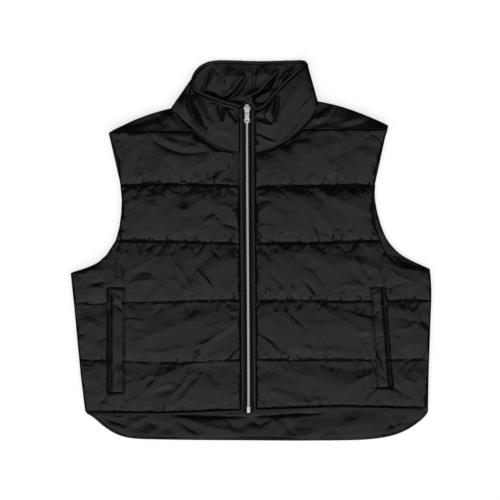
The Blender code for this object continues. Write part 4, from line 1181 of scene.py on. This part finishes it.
WORN = 0.92  # how bright the dull patches are beside the rest


def metal(name, colour, roughness):
    """Plated metal with faint scratches and dull patches."""
    material, shader, place = new_finish(name, colour, roughness, 1.0)
    patch = place.node("ShaderNodeTexNoise", {}, {"Vector": place, "Scale": 420.0, "Detail": 3.0})
    stretched = place.node("ShaderNodeMapping", {}, {"Vector": place, "Scale": (9000.0, 700.0, 9000.0)})
    scratch = place.node("ShaderNodeTexNoise", {}, {"Vector": stretched, "Scale": 1.0, "Detail": 1.0})
    tree = place.tree
    gloss = (patch - 0.5) * 0.25 + (scratch - 0.5) * 0.1 + roughness
    tree.links.new(gloss.link, shader.inputs["Roughness"])
    worn = tuple(WORN * part for part in colour)
    blend = place.node("ShaderNodeMix", {"data_type": "RGBA"},
                       {0: patch, 6: (*colour, 1.0), 7: (*worn, 1.0)}, 2)
    tree.links.new(blend.link, shader.inputs["Base Color"])
    bump = place.node("ShaderNodeBump", {}, {"Height": scratch, "Distance": 0.01 * MM, "Strength": 1.0})
    tree.links.new(bump.link, shader.inputs["Normal"])
    return material


SILVER = metal("silver_zip", (0.99, 0.97, 0.93), roughness=0.15)
TAPE = nylon("zip_tape_weave", (0.006, 0.006, 0.007), (0.003, 0.003, 0.004),
             roughness=0.7, pitch=0.9, rumple=0.3)
TAPE.node_tree.nodes["Principled BSDF"].inputs["Specular IOR Level"].default_value = 0.2
for side in ("left", "right"):
    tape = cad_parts["zip_tape_" + side]
    tape.data.materials.clear()
    tape.data.materials.append(TAPE)


def scatter(mesh, places, runs):
    """One mesh of copies of a small mesh, each at its place, its X along its run and its Z upwards."""
    unit = points_of(mesh)
    polygons = [list(polygon.vertices) for polygon in mesh.polygons]
    runs = runs / np.linalg.norm(runs, axis=1, keepdims=True)
    sides = np.cross((0.0, 0.0, 1.0), runs)
    sides /= np.linalg.norm(sides, axis=1, keepdims=True)
    ups = np.cross(runs, sides)
    turned = (unit[None, :, 0, None] * runs[:, None] + unit[None, :, 1, None] * sides[:, None]
              + unit[None, :, 2, None] * ups[:, None])
    spots = (places[:, None] + turned).reshape(-1, 3) * MM
    faces = [[index + k * len(unit) for index in polygon] for k in range(len(places)) for polygon in polygons]
    joined = bpy.data.meshes.new(mesh.name)
    joined.from_pydata(spots.tolist(), [], faces)
    return joined


def take_mesh(piece):
    """The mesh of a small modelled object, which is removed."""
    mesh = piece.data.copy()
    bpy.data.objects.remove(piece, do_unlink=True)
    return mesh


# One tooth: a block on the tape's edge that narrows to a head past the chain's middle line.
bpy.ops.object.select_all(action="DESELECT")
bpy.ops.mesh.primitive_cube_add(size=1.0)
tooth = bpy.context.object
tooth.data.transform(Matrix.Diagonal((*(size * MM for size in TOOTH_SIZE), 1.0)))
bpy.ops.object.mode_set(mode="EDIT")
build = bmesh.from_edit_mesh(tooth.data)
for face in build.faces:
    face.select_set(face.normal.x > 0.9)
bmesh.update_edit_mesh(tooth.data)
bpy.ops.mesh.extrude_region_move(TRANSFORM_OT_translate={"value": (TOOTH_HEAD * MM, 0.0, 0.0)})
bpy.ops.transform.resize(value=(1.0, 0.55, 0.92))
bpy.ops.mesh.select_all(action="SELECT")
bpy.ops.mesh.bevel(offset=TOOTH_BEVEL * MM, segments=1)
bpy.ops.object.mode_set(mode="OBJECT")
tooth_mesh = take_mesh(tooth)
tooth_mesh.name = "zip_teeth"

ys = np.arange(CHAIN_ENDS[0], CHAIN_ENDS[1], TOOTH_PITCH / 2)
hands = np.where(np.arange(len(ys)) % 2 == 0, 1.0, -1.0)
tooth_places = np.stack([zip_x(ys) - hands * TOOTH_BACK, ys, zip_z(ys)], 1)
teeth_mesh = scatter(tooth_mesh, tooth_places, np.stack([hands, ys * 0, ys * 0], 1))
teeth = new_piece("zip_teeth", teeth_mesh, SILVER)
teeth.data.shade_flat()
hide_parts("zip_chain")
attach(teeth, "vest")

SLIDER_WIDTH = 0.86  # of the slider's and the pull's own width, which leaves room beside them
for node, body in (("zip_box", "vest"), ("zip_slider", "vest"), ("zip_pull", "pull")):
    fitting = copy_of(node, node + "_metal", SILVER)
    if node != "zip_box":
        places = points_of(fitting.data)
        centre = zip_x(places[:, 1])
        places[:, 0] = centre + (places[:, 0] - centre) * SLIDER_WIDTH
        move_points(fitting.data, places)
    finish_with(fitting, "BEVEL", width=0.22 * MM, segments=2, limit_method="ANGLE", angle_limit=0.6)
    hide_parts(node)
    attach(fitting, body)


# ---- Stitching -----------------------------------------------------
# Black polyester thread runs in every quilt seam, about three stitches to the centimetre, each sunk in its
# groove.

THREAD = nylon("black_thread", (0.004, 0.004, 0.005), (0.002, 0.002, 0.003),
               roughness=0.7, pitch=0.25, rumple=0.1)
STITCH_PITCH = 3.4
STITCH_SIZE = (1.2, 0.26, 0.22)  # half its length, width and height
bpy.ops.object.select_all(action="DESELECT")
bpy.ops.mesh.primitive_ico_sphere_add(subdivisions=1, radius=MM)
stitch = bpy.context.object
stitch.data.transform(Matrix.Diagonal((*STITCH_SIZE, 1.0)))
stitch_mesh = take_mesh(stitch)
stitch_mesh.name = "quilt_stitches"
spots, runs = [], []
for side, front in fronts.items():
    tree = ground(front)
    for xs, ys in seam_lines[side][1:]:
        for x in np.arange(xs.min() + 3.0, xs.max() - 2.0, STITCH_PITCH):
            y = float(np.interp(x, xs, ys))
            z = height_on(tree, x, y)
            if z is None:
                continue
            spots.append((x, y, z + 0.05))
            ahead = float(np.interp(x + 1.0, xs, ys))
            runs.append((1.0, ahead - y, 0.0))
stitches = new_piece("quilt_stitches", scatter(stitch_mesh, np.array(spots), np.array(runs)), THREAD)
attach(stitches, "vest")
